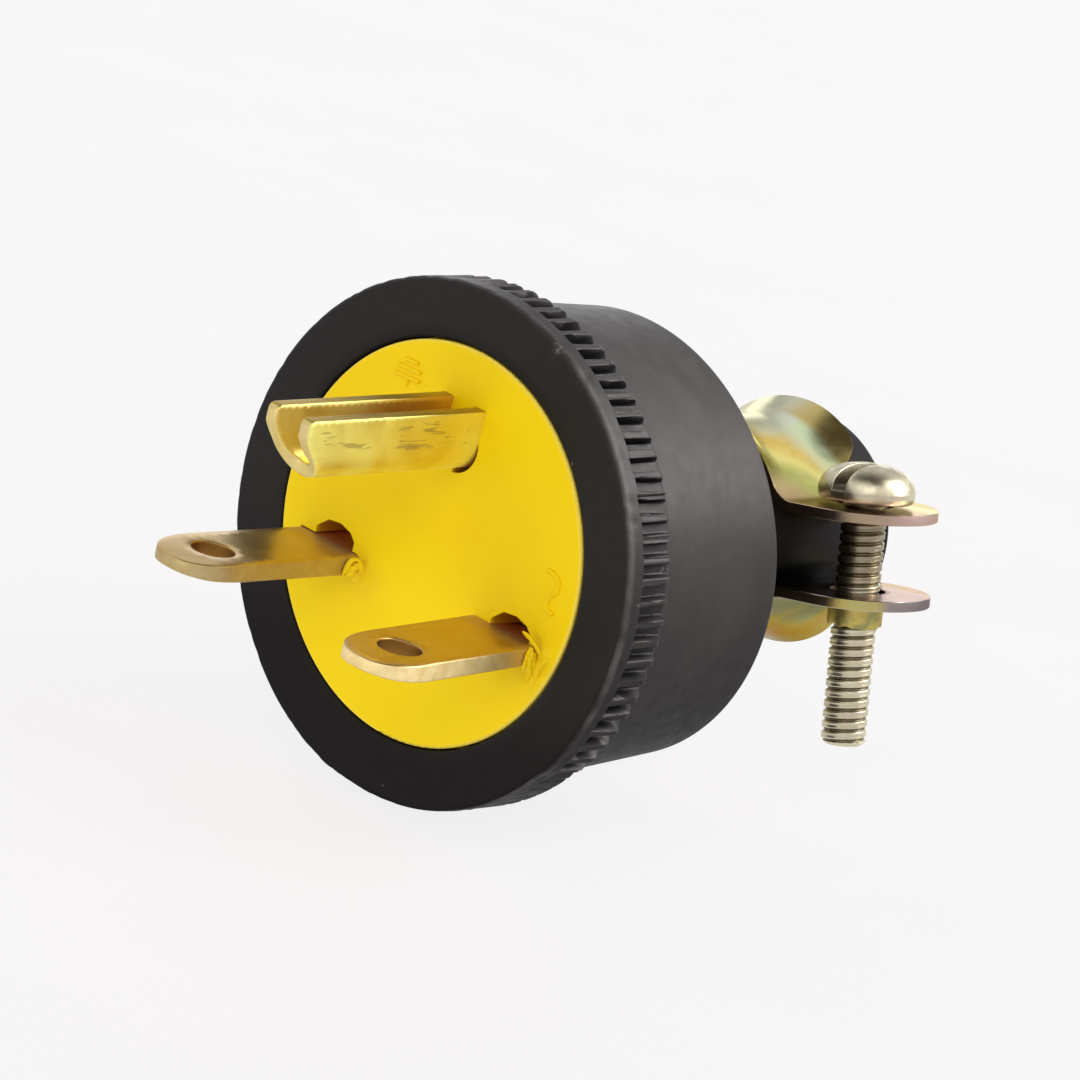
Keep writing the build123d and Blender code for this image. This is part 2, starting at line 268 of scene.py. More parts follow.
def grip_radius(ang, y):
    base = shell_profile(y) - 0.22 * run_out(ang) * np.clip((5.9 - y) / 1.2, 0, 1)
    turn_ = (ang - PHASE) / PITCH
    k = np.round(turn_).astype(int) % 80
    d = np.abs((turn_ - np.round(turn_)) * PITCH * 19.8 + slot_skew[k] * (y - 3.5)) / slot_wide[k]
    f = np.interp(d, SLOT_D, SLOT_F) * (1 - run_out(ang))
    start = np.clip((y - slot_from[k] + 0.04) / 0.08, 0, 1)
    floor = 18.68 + (1 - slot_deep[k]) * 0.9
    depth = np.maximum(base - floor, 0.0)
    if y < 5.4:
        rib = (1 - f) * start * rib_low[k] * np.clip((d - 0.43) / 0.2, 0, 1)
    else:
        rib = 0.0
    return base - f * start * depth - rib, f * start * np.clip(depth / 0.5, 0, 1)


def saddle_radius(v, rear):
    """Outside radius of a strap's saddle at v along the axis: a waist, belled towards both edges."""
    back_bell = rear * np.clip((v - 1.4) / 5.0, 0, 1.05) ** 1.55
    front_bell = 1.0 * np.clip((-v - 2.2) / 3.35, 0, 1.05) ** 2
    return 8.6 + np.where(v > 0, back_bell, front_bell)


def neck_radius(ang, y):
    """The neck, pressed in under the two saddles and a little swollen between them."""
    v = y - CLAMP_Y
    if abs(v) > 7.5:
        return np.full(len(ang), 8.55)
    off = np.abs((np.degrees(ang) - 102.2 + 90) % 180 - 90)
    w = np.clip((82 - off) / 22, 0, 1)
    w = w * w * (3 - 2 * w)
    inner = float(saddle_radius(np.array([v]), 0.85)[0]) - 0.86
    return 8.55 - max(0.0, 8.55 - inner) * w + 0.12 * (1 - w) * math.exp(-(v / 3.5) ** 2)


rows = []
coarse = np.arange(400) * 2 * math.pi / 400


rough_rim = np.random.default_rng(23).standard_normal(400)
rough_rim = (np.roll(rough_rim, 1) + 2 * rough_rim + np.roll(rough_rim, -1)) / 4
rough_rim = np.clip(0.05 * rough_rim, 0.0, 0.09) + 0.22 * run_out(coarse)


def turned_row(r, y, shift=0.0, skew=0.0, worn=0.0):
    rows.append((coarse, r - worn * rough_rim, y, shift, np.zeros(400), skew))


for r, y in [(15.03, 0.45), (15.045, 0.22), (15.11, 0.07), (15.26, 0.0), (16.2, 0.0), (17.2, 0.0), (18.2, 0.0), (18.8, 0.0)]:
    turned_row(r, y, min(1.0, max(0.0, (r - 15.3) / 3.0)))
for k, (r, y) in enumerate(arc(19.25, 0.35, 0.35, -90, 0, 7)):
    turned_row(r, y, 1.0, worn=min(1.0, k / 4))
turned_row(19.6, 0.6, 1.0, worn=1.0)
turned_row(19.6, 0.95, 1.0, worn=0.8)
for y in [1.2, 1.40, 1.52, 1.58, 1.64, 1.72, 1.82, 2.3, 2.7, 3.2, 3.7, 4.0, 4.15, 4.28, 4.42, 4.55, 4.68, 4.85, 5.02, 5.15, 5.25, 5.36, 5.5, 5.62,
          5.74, 5.86, 6.0, 6.15]:
    gr, gs = grip_radius(grip_ang, y)
    rows.append((grip_ang, gr, y, 1.0, gs, 0.0))
for y in [6.6, 7.6, 9.2, 11, 13, 15, 16.6, 17.8]:
    turned_row(shell_profile(y), y, 1.0, (y - 6.15) / (BARREL_END - 6.15))
for r, y in arc(16.95 - BARREL_EDGE, BARREL_END - BARREL_EDGE, BARREL_EDGE, 0, 90, 7):
    turned_row(r, y, 1.0, (y - 6.15) / (BARREL_END - 6.15))
for r in (15.4, 13.8, 12, 10.6):
    w = (r - 10.0) / 6.52
    turned_row(r, 18.6 + (BARREL_END - 18.6) * w, w, w)
for r, y in arc(9.45, 19.5, 0.9, 270, 180, 6):
    turned_row(r, y)
for y in (21.5, 24.0, 26.2, 27.4, 28.3, 29.2, 30.1, 31.0, 32.2, 34.0, 35.6, 36.5, 37.3, 38.1, 38.8, 39.5, 40.2, 41.6):
    rows.append((coarse, neck_radius(coarse, y), y, 0.0, np.zeros(400), 0.0))
for r, y in arc(8.1, 42.55, 0.45, 0, 90, 7):
    turned_row(r, y)
for r, y in [(6.9, 43.0), (6.0, 43.0), (5.35, 43.0), (5.1, 42.9), (5.0, 42.65), (5.0, 38), (5.0, 32), (5.0, 25), (5.0, 18.6), (6.6, 16.6),
             (10, 16.6), (13.6, 16.6), (14.3, 16.3), (14.6, 15.6), (14.6, 10), (14.6, 5.0), (16.5, 5.0), (16.5, 2.4), (15.03, 2.4), (15.03, 1.2)]:
    turned_row(r, y)

shell_v, shell_f, starts, in_slot = [], [], [], []
for ang, r, y, shift, gs, skew in rows:
    starts.append(len(shell_v))
    cx, cz = shell_centre(y)
    lean = skew * r * (0.026 * np.cos(ang) - 0.076 * np.sin(ang))
    shell_v += np.stack([r * np.cos(ang) + shift * cx, y + lean, r * np.sin(ang) + shift * cz], 1).tolist()
    in_slot += gs.tolist()
for k in range(len(rows)):
    q = (k + 1) % len(rows)
    stitch(shell_f, starts[k], rows[k][0], starts[q], rows[q][0])
shell_f = [tuple(reversed(f)) for f in shell_f]
shell_v = np.array(shell_v)
# a small nick on the front rim
nick_dir = np.array([math.cos(math.radians(67.5)), math.sin(math.radians(67.5))])
nick = np.array([19.4 * nick_dir[0] - 0.2, 0.2, 19.4 * nick_dir[1] - 0.2])
d = np.linalg.norm(shell_v - nick, axis=1)
pull = 0.14 * np.exp(-(d / 0.40) ** 2)
shell_v[:, 1] += pull
shell_v[:, 0] -= pull * nick_dir[0]
shell_v[:, 2] -= pull * nick_dir[1]
shell = new_object("rubber_shell_moulded", shell_v, shell_f, 50)
shell.data.attributes.new("slot", "FLOAT", "POINT").data.foreach_set("value", in_slot)
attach(shell, "plug")
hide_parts("rubber_shell")


# ------------------------------------------------------------ blades
def blade(name, x, out, node, lean=0.0, shift=0.0, lift=0.0):
    """Stamped blade; lean bends what stands out of the face sideways, as a knock does."""
    pts = [(x - 4.0, 10.5), (x - 4.0, 6.05), (x - 3.175, 6.05)]
    for a in np.linspace(0, math.pi, 41):
        c, q = math.cos(a), math.sin(a)
        pts.append((x - 3.175 * math.copysign(abs(c) ** 0.86, c), 3.85 - out - 3.85 * q ** 0.86))
    pts += [(x + 3.175, 6.05), (x + 4.0, 6.05), (x + 4.0, 10.5)]
    pts += [(x + 3.2 + 0.8 * math.cos(a), 10.5 + 0.8 * math.sin(a)) for a in np.linspace(0.3, 1.57, 4)]
    pts += [(x - 3.2 - 0.8 * math.cos(a), 10.5 + 0.8 * math.sin(a)) for a in np.linspace(1.57, 0.3, 4)]
    loop = resample(pts, 0.45)
    if closed_area(loop) < 0:
        loop = loop[::-1]
    hole = circle(x, 4.35 - out, 1.62, 56)
    tapped = circle(x, 8.9, 1.5, 40)

    def place(p, h):
        ahead = np.clip((3.0 - p[:, 1]) / 3.0, 0, 1)
        thin = np.interp(p[:, 1] + out, (0.0, 1.6, 4.5), (0.66, 0.82, 1.0))
        return np.stack([p[:, 0] + ahead * shift + lean * np.maximum(-p[:, 1], 0), p[:, 1] + ahead * lean * (p[:, 0] - x),
                         -4.1 + ahead * lift + h * thin], 1)

    v, f = plate(loop, [hole, tapped], place, 1.42, 0.18, 0.7)
    ob = new_object(name, v, f, 50)
    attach(ob, "plug")
    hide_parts(node)
    return ob


blade_left = blade("stamped_blade_left", -9.25, 16.45, "line_blade_left")
blade_right = blade("stamped_blade_right", 9.25, 16.45, "line_blade_right", 0.101, -0.2, 0.24)


# ------------------------------------------------------------ folded earth pin
def u_line(s):
    """Middle line of the fold: position (x, z) and outward normal at distance s from the bottom's middle."""
    sg = np.sign(s)
    a = np.abs(s)
    ang = np.clip((a - 0.175) / 1.5, 0, math.pi / 2)
    x = np.where(a < 0.175, a, 0.175 + 1.5 * np.sin(ang))
    z = np.where(a < 0.175, 6.6, 8.1 - 1.5 * np.cos(ang)) + np.maximum(a - 0.175 - 1.5 * math.pi / 2, 0)
    nx, nz = np.sin(ang), -np.cos(ang)
    return x * sg, z, nx * sg, nz


S_END = 0.175 + 1.5 * math.pi / 2 + (11.0 - 8.1)
PIN_X = 0.15


def place_u(p, h):
    x, z, nx, nz = u_line(p[:, 0])
    ahead = np.clip((3.0 - p[:, 1]) / 3.0, 0, 1)
    return np.stack([x + nx * h + PIN_X * ahead, p[:, 1], z + nz * h + ahead * (0.10 + 0.0134 * np.minimum(p[:, 1], 0))], 1)


def nose_y(s):
    z = u_line(np.array([s]))[1][0]
    q = (9.7 - z) / (9.7 - 6.6)
    return -17.86 + (2.6 * q ** 1.2 if q > 0 else 0.0)


front = [(s, nose_y(s)) for s in np.linspace(S_END - 0.5, -S_END + 0.5, 60)]
u_pts = [(-S_END, 6.05), (S_END, 6.05)]
u_pts += [(S_END - 0.5 + 0.5 * math.cos(a), -17.36 - 0.5 * math.sin(a)) for a in np.linspace(0, 1.3, 5)]
u_pts += front
u_pts += [(-(S_END - 0.5 + 0.5 * math.cos(a)), -17.36 - 0.5 * math.sin(a)) for a in np.linspace(1.3, 0, 5)]
u_loop = resample(u_pts, 0.4)
if closed_area(u_loop) < 0:
    u_loop = u_loop[::-1]
fold = plate(u_loop, [], place_u, 1.0, 0.16, 0.42)
tail = resample([(-3.6, 6.05), (3.6, 6.05), (3.6, 10.5), (3.37, 11.07), (2.8, 11.3), (-2.8, 11.3), (-3.37, 11.07), (-3.6, 10.5)], 0.5)
tail_plate = plate(tail, [circle(0, 8.9, 1.5, 40)], lambda p, h: np.stack([p[:, 0], p[:, 1], 6.6 + h], 1), 1.0, 0.12, 0.7)
v, f = joined(fold, tail_plate)
earth = new_object("folded_earth_pin", v, f, 50)
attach(earth, "plug")
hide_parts("earth_pin")


# ------------------------------------------------------------ cord clamp
def strap_line(ear_low):
    """Middle line of a strap from its crown outwards: table of distance, lateral place, height, normal."""
    rm, flare, t2 = 9.25, 2.4, 0.4
    nm = ear_low + t2
    nc = nm + flare
    hc = math.sqrt((rm + flare) ** 2 - nc ** 2)
    sweep = math.acos(nc / (rm + flare))
    s, h, n, nh, nn = [], [], [], [], []
    for a in np.linspace(0, sweep, 60):
        s.append(rm * a); h.append(rm * math.sin(a)); n.append(rm * math.cos(a)); nh.append(math.sin(a)); nn.append(math.cos(a))
    for a in np.linspace(0, sweep, 30)[1:]:
        b = sweep - a
        s.append(rm * sweep + flare * a)
        h.append(hc - flare * math.sin(b)); n.append(nc - flare * math.cos(b)); nh.append(math.sin(b)); nn.append(math.cos(b))
    end = s[-1]
    s.append(end + 12.0); h.append(hc + 12.0); n.append(nm); nh.append(0.0); nn.append(1.0)
    return [np.array(q) for q in (s, h, n, nh, nn)], rm * sweep


def strap_plan():
    """Outline seen from above, (lateral, along the axis), anticlockwise."""
    w, c = 5.55, 13.0
    pts = [(-c, -w), (c, -w)]
    a_end = math.atan2(3.15, 8.45 - c)
    pts += [(c + w * math.cos(a), w * math.sin(a)) for a in np.linspace(-math.pi / 2, a_end, 46)[1:]]
    pts += [(8.05, 3.35), (7.75, 3.75), (7.15, 4.75), (6.85, 5.3), (6.45, 5.8), (5.9, 6.1), (5.0, 6.25), (3.4, 6.35), (1.7, 6.4), (0.5, 6.4)]
    pts += [(-x, y) for x, y in reversed(pts[2 + 45:])]
    pts += [(-x, y) for x, y in reversed(pts[2:2 + 45])]
    return pts


def strap(name, ear_low, mirror, hole_r, profiles, body, node, rear):
    (s, h, n, nh, nn), s_saddle = strap_line(ear_low)
    flat = resample(strap_plan(), 0.4)
    loop = np.stack([np.sign(flat[:, 0]) * np.interp(np.abs(flat[:, 0]), h, s), flat[:, 1]], 1)
    ear_s = float(np.interp(13.0, h, s))
    holes = [circle(ear_s, 0, hole_r, 56), circle(-ear_s, 0, hole_r, 56)]

    def place(p, height):
        a = np.abs(p[:, 0])
        sg = np.sign(p[:, 0])
        hh, nv = np.interp(a, s, h) * sg, np.interp(a, s, n)
        qh, qn = np.interp(a, s, nh) * sg, np.interp(a, s, nn)
        ln = np.hypot(qh, qn)
        over = np.clip((s_saddle * 1.12 - a) / (s_saddle * 0.42), 0, 1)
        over = over * over * (3 - 2 * over)
        v = p[:, 1]
        drop = saddle_radius(v, rear) - 9.65
        up = height + over * drop
        hh = hh + qh / ln * up
        nv = (nv + qn / ln * up) * (-1 if mirror else 1)
        return hh[:, None] * LAT + nv[:, None] * NRM + (CLAMP_Y + v)[:, None] * AXL

    vv, ff = plate(loop, holes, place, 0.8, 0.10, 0.55, profiles)
    if mirror:
        ff = [tuple(reversed(x)) for x in ff]
    ob = new_object(name, vv, ff, 20)
    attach(ob, body)
    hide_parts(node)
    return ob


plain_hole = [(0.14, 0.4), (0.04, 0.36), (0.0, 0.26), (0.0, -0.26), (0.04, -0.36), (0.14, -0.4)]
upper_strap = strap("upper_saddle_strap", 2.75, False, 2.1, [plain_hole, plain_hole], "upper_strap", "upper_clamp_strap", 1.2)


def ragged(seed, level):
    def height(loop):
        n = len(loop)
        a = np.arange(n) * 2 * math.pi / n
        r = np.random.default_rng(seed)
        w = sum(r.uniform(0.03, 0.085) * np.sin(k * a + r.uniform(0, 6.28)) for k in (2, 3, 5, 8, 12))
        return level + w
    return height


def collar(seed):
    return [(0.86, 0.4), (0.66, 0.44), (0.58, 0.58), (0.57, 1.1), (0.56, ragged(seed, 2.08)), (0.46, ragged(seed, 2.28)), (0.20, ragged(seed, 2.30)),
            (0.03, ragged(seed, 2.18)), (0.0, 1.3), (0.0, 0.32), (0.10, 0.05), (0.34, -0.22), (0.56, -0.36), (0.72, -0.4)]


lower_strap = strap("lower_saddle_strap", 2.97, True, 1.8, [collar(3), collar(5)], "plug", "lower_clamp_strap", 0.85)


def clamp_screw(name, side, slot_deg, seed, body, node):
    """Slotted pan-head screw with a rolled thread; its axis is the clamp's normal."""
    cols_n = 60
    ang = np.arange(cols_n) * 2 * math.pi / cols_n
    pitch, top, tip = 0.79375, 3.75, -14.8
    zs = np.arange(tip, top, pitch / 22)
    verts, faces, starts = [], [], []

    def row(r, z):
        starts.append(len(verts))
        verts.extend(np.stack([r * np.cos(ang), r * np.sin(ang), np.full(cols_n, z)], 1).tolist())

    groove = [0.0] * (2 * cols_n)
    row(np.full(cols_n, 0.35), tip)
    row(np.full(cols_n, 0.9), tip)
    for z in zs:
        c = ((z / pitch) - ang / (2 * math.pi) + 0.37 * seed) % 1.0
        f = np.interp(c, (0.0, 0.08, 0.14, 0.26, 0.34, 0.46, 0.55, 0.64, 0.76, 0.84, 0.95, 1.0), (0.0, 0.0, 0.14, 0.90, 1.0, 0.90, 0.87, 0.90, 1.0, 0.90, 0.12, 0.0))
        r = 1.53 + 0.19 * f
        r = np.minimum(r, 1.36 + (z - tip) * 1.0)
        groove.extend((1 - f).tolist())
        row(r, z)
    row(np.full(cols_n, 1.5), top + 0.1)
    row(np.full(cols_n, 0.35), top + 0.1)
    for k in range(len(starts) - 1):
        stitch(faces, starts[k], ang, starts[k + 1], ang)
    faces.append(tuple(starts[0] + i for i in range(cols_n))[::-1])
    faces.append(tuple(starts[-1] + i for i in range(cols_n)))
    shank = (np.array(verts), faces)

    # head: turned profile, the slot cut out of its plan
    prof_r = np.array([0.0, 1.0, 1.9, 2.5, 2.95, 3.25, 3.45, 3.58, 3.66, 3.70])
    prof_z = np.array([2.80, 2.76, 2.62, 2.40, 2.13, 1.86, 1.60, 1.34, 1.10, 0.85])
    rim = [(3.695, 0.55), (3.66, 0.28), (3.60, 0.10), (3.50, 0.0)]
    sw = 0.60
    hv, hf = [], []

    def head_top(p, drop):
        r = np.hypot(p[:, 0], p[:, 1])
        return np.interp(r, prof_r, prof_z) - drop

    n_arc = 56
    a0 = math.asin(sw / 3.70)
    for sgn in (1, -1):
        a = np.linspace(a0, math.pi - a0, n_arc)
        rim_pts = np.stack([3.70 * np.cos(a), 3.70 * np.sin(a)], 1)
        chord = np.stack([np.linspace(rim_pts[-1, 0], rim_pts[0, 0], 33)[1:-1], np.full(31, sw)], 1)
        loop = np.vstack([rim_pts, chord])
        soft = loop.copy()
        edge_ids = list(range(n_arc, n_arc + 31))
        soft[edge_ids, 1] += 0.09
        pts, tris, _ = fill(soft, [], 0.34)
        z = head_top(pts, 0.0)
        base = len(hv)
        hv.extend(np.stack([pts[:, 0] * sgn, pts[:, 1] * sgn, z], 1).tolist())
        hf += [tuple(base + i for i in t) for t in tris]
        # slot wall with a broken upper edge
        ids = [n_arc - 1] + edge_ids + [0]
        line = np.vstack([rim_pts[-1], chord, rim_pts[0]])
        prev = [base + i for i in ids]
        for dy, kind in ((0.03, 'lip'), (0.0, 'lip2'), (0.0, 'floor')):
            zz = head_top(line, 0.0)
            zz = {'lip': zz - 0.03, 'lip2': zz - 0.10, 'floor': np.minimum(zz - 0.11, 1.25)}[kind]
            b = len(hv)
            hv.extend(np.stack([line[:, 0] * sgn, (line[:, 1] + dy) * sgn, zz], 1).tolist())
            cur = list(range(b, b + len(line)))
            for i in range(len(line) - 1):
                hf.append((prev[i], cur[i], cur[i + 1], prev[i + 1]))
            prev = cur
        if sgn == 1:
            floor_a, line_a = prev, line
            rim_a = [base + i for i in range(n_arc)]
        else:
            floor_b = prev
            rim_b = [base + i for i in range(n_arc)]
    for i in range(len(floor_a) - 1):
        k = len(floor_a) - 1 - i
        hf.append((floor_a[i], floor_b[k], floor_b[k - 1], floor_a[i + 1]))
    # side of the head, with the slot's two mouths
    order = rim_a + [floor_a[0]] + [floor_b[-1]] + rim_b + [floor_b[0]] + [floor_a[-1]]
    ring_pts = np.array([hv[i] for i in order])
    prev = order
    lo_z = np.minimum(ring_pts[:, 2], 0.85)
    for r, z in [(3.70, 0.80)] + rim + [(2.9, 0.0), (1.2, 0.0)]:
        b = len(hv)
        rr = np.hypot(ring_pts[:, 0], ring_pts[:, 1])
        hv.extend(np.stack([ring_pts[:, 0] / rr * r, ring_pts[:, 1] / rr * r, np.full(len(order), z)], 1).tolist())
        cur = list(range(b, b + len(order)))
        for i in range(len(order)):
            k = (i + 1) % len(order)
            hf.append((prev[i], cur[i], cur[k], prev[k]))
        prev = cur
    hf.append(tuple(reversed(prev)))
    head_v = np.array(hv)
    c, s_ = math.cos(math.radians(slot_deg)), math.sin(math.radians(slot_deg))
    head_v = np.stack([head_v[:, 0] * c - head_v[:, 1] * s_, head_v[:, 0] * s_ + head_v[:, 1] * c, head_v[:, 2] + 3.9], 1)
    v, f = joined(shank, (head_v, hf))
    world = (v[:, 0] + side * 13.0)[:, None] * LAT + v[:, 2][:, None] * NRM + (CLAMP_Y + v[:, 1])[:, None] * AXL
    # lateral, axis and normal are left-handed in this order, so faces turn round
    ob = new_object(name, world, [tuple(reversed(x)) for x in f], 48)
    groove = groove + [0.0] * (len(ob.data.vertices) - len(groove))
    ob.data.attributes.new("groove", "FLOAT", "POINT").data.foreach_set("value", groove)
    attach(ob, body)
    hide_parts(node)
    return ob


screw_near = clamp_screw("rolled_thread_screw_near", 1, 92.0, 0, "near_screw", "clamp_screw_near")
screw_far = clamp_screw("rolled_thread_screw_far", -1, 40.0, 1, "far_screw", "clamp_screw_far")


# ------------------------------------------------------------ moulding flash and raised signs on the yellow face
def flash(name, x0, x1, z0, z1, ridges):
    """Torn lip of plastic: ridges of (points, half width, height) over a patch of the face."""
    nx, nz = int((x1 - x0) / 0.055), int((z1 - z0) / 0.055)
    gx, gz = np.meshgrid(np.linspace(0.0, 1.0, nx), np.linspace(z0, z1, nz))
    far = np.minimum(x1, np.sqrt(14.3 ** 2 - gz ** 2))
    gx = x0 + (far - x0) * gx
    p = np.stack([gx.ravel(), gz.ravel()], 1)
    hgt = np.full(len(p), -0.12)
    for pts, w, top in ridges:
        pts = np.array(pts, float)
        best, along = np.full(len(p), 1e9), np.zeros(len(p))
        for k in range(len(pts) - 1):
            a, b = pts[k], pts[k + 1]
            t = np.clip(((p - a) @ (b - a)) / ((b - a) @ (b - a)), 0, 1)
            dd = np.hypot(*(p - a - t[:, None] * (b - a)).T)
            m = dd < best
            best[m] = dd[m]
            along[m] = (k + t[m]) / (len(pts) - 1)
        taper = 0.45 + 0.55 * np.sin(np.clip(along, 0, 1) * math.pi) ** 0.7
        bump = top * taper * np.exp(-(best / w) ** 2 * 1.3)
        hgt = np.maximum(hgt, bump - 0.06) + 0.18 * np.minimum(np.maximum(hgt, -0.02) + 0.02, bump)
    lump = 0.03 * np.sin(p[:, 0] * 9.1 + 2.0 * np.sin(p[:, 1] * 6.3)) * np.sin(p[:, 1] * 11.3 + 1.2)
    hgt = hgt + lump * (hgt > 0.03)
    edge = np.minimum.reduce([p[:, 0] - x0, far.ravel() - p[:, 0], p[:, 1] - z0, z1 - p[:, 1]])
    hgt = np.where(edge < 0.12, -0.12, hgt)
    top_v = np.stack([p[:, 0], -hgt, p[:, 1]], 1)
    low_v = np.stack([p[:, 0], np.full(len(p), 0.3), p[:, 1]], 1)
    verts = np.vstack([top_v, low_v])
    n = len(p)
    faces = []
    for j in range(nz - 1):
        for i in range(nx - 1):
            a, b, c, d_ = j * nx + i, j * nx + i + 1, (j + 1) * nx + i + 1, (j + 1) * nx + i
            faces += [(a, b, c, d_), (n + d_, n + c, n + b, n + a)]
    rim_ids = ([i for i in range(nx)] + [j * nx + nx - 1 for j in range(1, nz)] +
               [(nz - 1) * nx + i for i in range(nx - 2, -1, -1)] + [j * nx for j in range(nz - 2, 0, -1)])
    for k in range(len(rim_ids)):
        a, b = rim_ids[k], rim_ids[(k + 1) % len(rim_ids)]
        faces.append((b, a, n + a, n + b))
    ob = new_object(name, verts, faces, 60)
    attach(ob, "plug")
    return ob


flash_left = flash("moulding_flash_left", -6.6, -4.4, -5.9, -3.0, [
    ([(-5.95, -4.65), (-5.55, -4.05)], 0.74, 0.55),
    ([(-6.15, -3.55), (-5.45, -3.75), (-5.1, -4.35), (-5.4, -5.15)], 0.14, 0.60),
    ([(-6.2, -5.0), (-5.95, -4.65), (-5.6, -4.35)], 0.16, 0.70)])
flash_right = flash("moulding_flash_right", 11.9, 14.5, -6.9, -2.5, [
    ([(12.75, -5.0), (13.05, -4.2), (12.95, -3.5)], 1.0, 0.60),
    ([(12.55, -3.2), (12.6, -4.1), (12.45, -5.0), (12.2, -5.9)], 0.14, 0.70),
    ([(12.95, -3.1), (13.3, -3.7), (13.3, -4.6)], 0.16, 0.66)])


def sliver(name, path, radii):
    """Thin curled thread of plastic along a path of points."""
    path, n = np.array(path, float), 14
    t = np.linspace(0, 1, 26)
    keys = np.linspace(0, 1, len(path))
    line = np.stack([np.interp(t, keys, path[:, k]) for k in range(3)], 1)
    for _ in range(4):
        line[1:-1] = (line[:-2] + 2 * line[1:-1] + line[2:]) / 4
    rad = np.interp(t, np.linspace(0, 1, len(radii)), radii)
    tang = np.gradient(line, axis=0)
    tang /= np.linalg.norm(tang, axis=1)[:, None]
    side = np.cross(tang, np.array([0.0, 1.0, 0.2]))
    side /= np.linalg.norm(side, axis=1)[:, None]
    lift = np.cross(side, tang)
    ang = np.arange(n) * 2 * math.pi / n
    verts, faces = [], []
    for k in range(len(t)):
        flat = 1.0 + 0.25 * math.sin(9 * t[k])
        for a in ang:
            verts.append(line[k] + rad[k] * (math.cos(a) * side[k] * flat + 0.7 * math.sin(a) * lift[k]))
    for k in range(len(t) - 1):
        for i in range(n):
            q = (i + 1) % n
            faces.append((k * n + i, k * n + q, (k + 1) * n + q, (k + 1) * n + i))
    faces.append(tuple(range(n))[::-1])
    faces.append(tuple((len(t) - 1) * n + i for i in range(n)))
    ob = new_object(name, verts, faces, 60)
    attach(ob, "plug")
    return ob


curls = [
    sliver("flash_lump_left", [(-5.92, -1.15, -4.72), (-5.74, -1.0, -4.3), (-5.6, -0.78, -3.95), (-5.5, -0.2, -3.95)], (0.16, 0.36, 0.38, 0.34)),
    sliver("flash_lump_right", [(12.58, -0.85, -3.0), (12.66, -0.9, -3.7), (12.62, -0.8, -4.4), (12.4, -0.1, -5.3)], (0.14, 0.36, 0.36, 0.24)),
    sliver("flash_curl_left_outer", [(-5.92, -1.55, -4.67), (-5.86, -1.45, -4.03), (-5.75, -1.2, -3.44), (-5.5, -0.8, -3.28), (-5.25, -0.5, -3.67),
                                     (-5.3, -0.4, -4.33), (-5.9, -0.05, -5.0)], (0.09, 0.17, 0.19, 0.17, 0.16, 0.17, 0.14)),
    sliver("flash_curl_left_inner", [(-5.88, -1.35, -4.51), (-5.72, -1.2, -3.98), (-5.55, -0.85, -3.95), (-5.8, -0.2, -4.75)], (0.08, 0.15, 0.16, 0.14)),
    sliver("flash_curl_right_top", [(11.7, -1.2, -2.08), (12.1, -0.97, -2.29), (12.55, -0.67, -2.67), (12.95, -0.43, -3.14), (12.95, -0.02, -3.8)],
           (0.08, 0.18, 0.19, 0.20, 0.20)),
    sliver("flash_curl_right_edge", [(12.6, -0.95, -3.05), (12.63, -1.15, -3.56), (12.6, -1.2, -4.19), (12.55, -1.1, -4.85)], (0.10, 0.17, 0.16, 0.06)),
    sliver("flash_curl_right_low", [(12.75, -0.62, -3.37), (12.8, -0.55, -4.05), (12.65, -0.5, -4.81), (12.2, -0.02, -5.9)], (0.14, 0.20, 0.17, 0.12))]


def raised(name, strokes, w, top):
    """Raised strokes on the face: each a list of (x, z) points, with a rounded section."""
    parts = []
    for pts in strokes:
        pts = np.array(pts, float)
        left, right, n = [], [], len(pts)
        tang = np.gradient(pts, axis=0)
        tang /= np.linalg.norm(tang, axis=1)[:, None]
        nor = np.stack([-tang[:, 1], tang[:, 0]], 1)
        sect = [(-1.0, -0.25), (-0.92, 0.45), (-0.6, 0.9), (0.0, 1.0), (0.6, 0.9), (0.92, 0.45), (1.0, -0.25)]
        verts, faces = [], []
        for q in range(n):
            for u, hgt in sect:
                x, z = pts[q] + nor[q] * u * w
                verts.append((x, -hgt * top, z))
        m = len(sect)
        for q in range(n - 1):
            for k in range(m):
                kk = (k + 1) % m
                faces.append((q * m + k, q * m + kk, (q + 1) * m + kk, (q + 1) * m + k))
        faces.append(tuple(range(m))[::-1])
        faces.append(tuple((n - 1) * m + k for k in range(m)))
        parts.append((np.array(verts), faces))
    v, f = joined(*parts)
    ob = new_object(name, v, f, 60)
    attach(ob, "plug")
    return ob


earth_sign = raised("raised_earth_sign", [
    [(-6.33, 12.05), (-5.68, 12.07), (-5.02, 12.10)], [(-6.91, 11.42), (-5.75, 11.45), (-4.57, 11.48)], [(-7.0, 10.76), (-5.75, 10.80), (-4.52, 10.86)],
    [(-5.72, 10.70), (-5.70, 10.45), (-5.69, 10.20)]], 0.15, 0.24)
keys = np.array([(11.6, 2.57), (12.27, 2.51), (12.8, 2.23), (13.0, 1.76), (12.9, 1.28), (12.49, 0.8), (12.21, 0.35), (12.28, -0.06), (12.65, -0.29), (13.08, -0.27)])
along = np.linspace(0, len(keys) - 1, 46)
wave = np.stack([np.interp(along, np.arange(len(keys)), keys[:, k]) for k in (0, 1)], 1)
for _ in range(6):
    wave[1:-1] = (wave[:-2] + 2 * wave[1:-1] + wave[2:]) / 4
wave_sign = raised("raised_wave_sign", [wave], 0.16, 0.26)


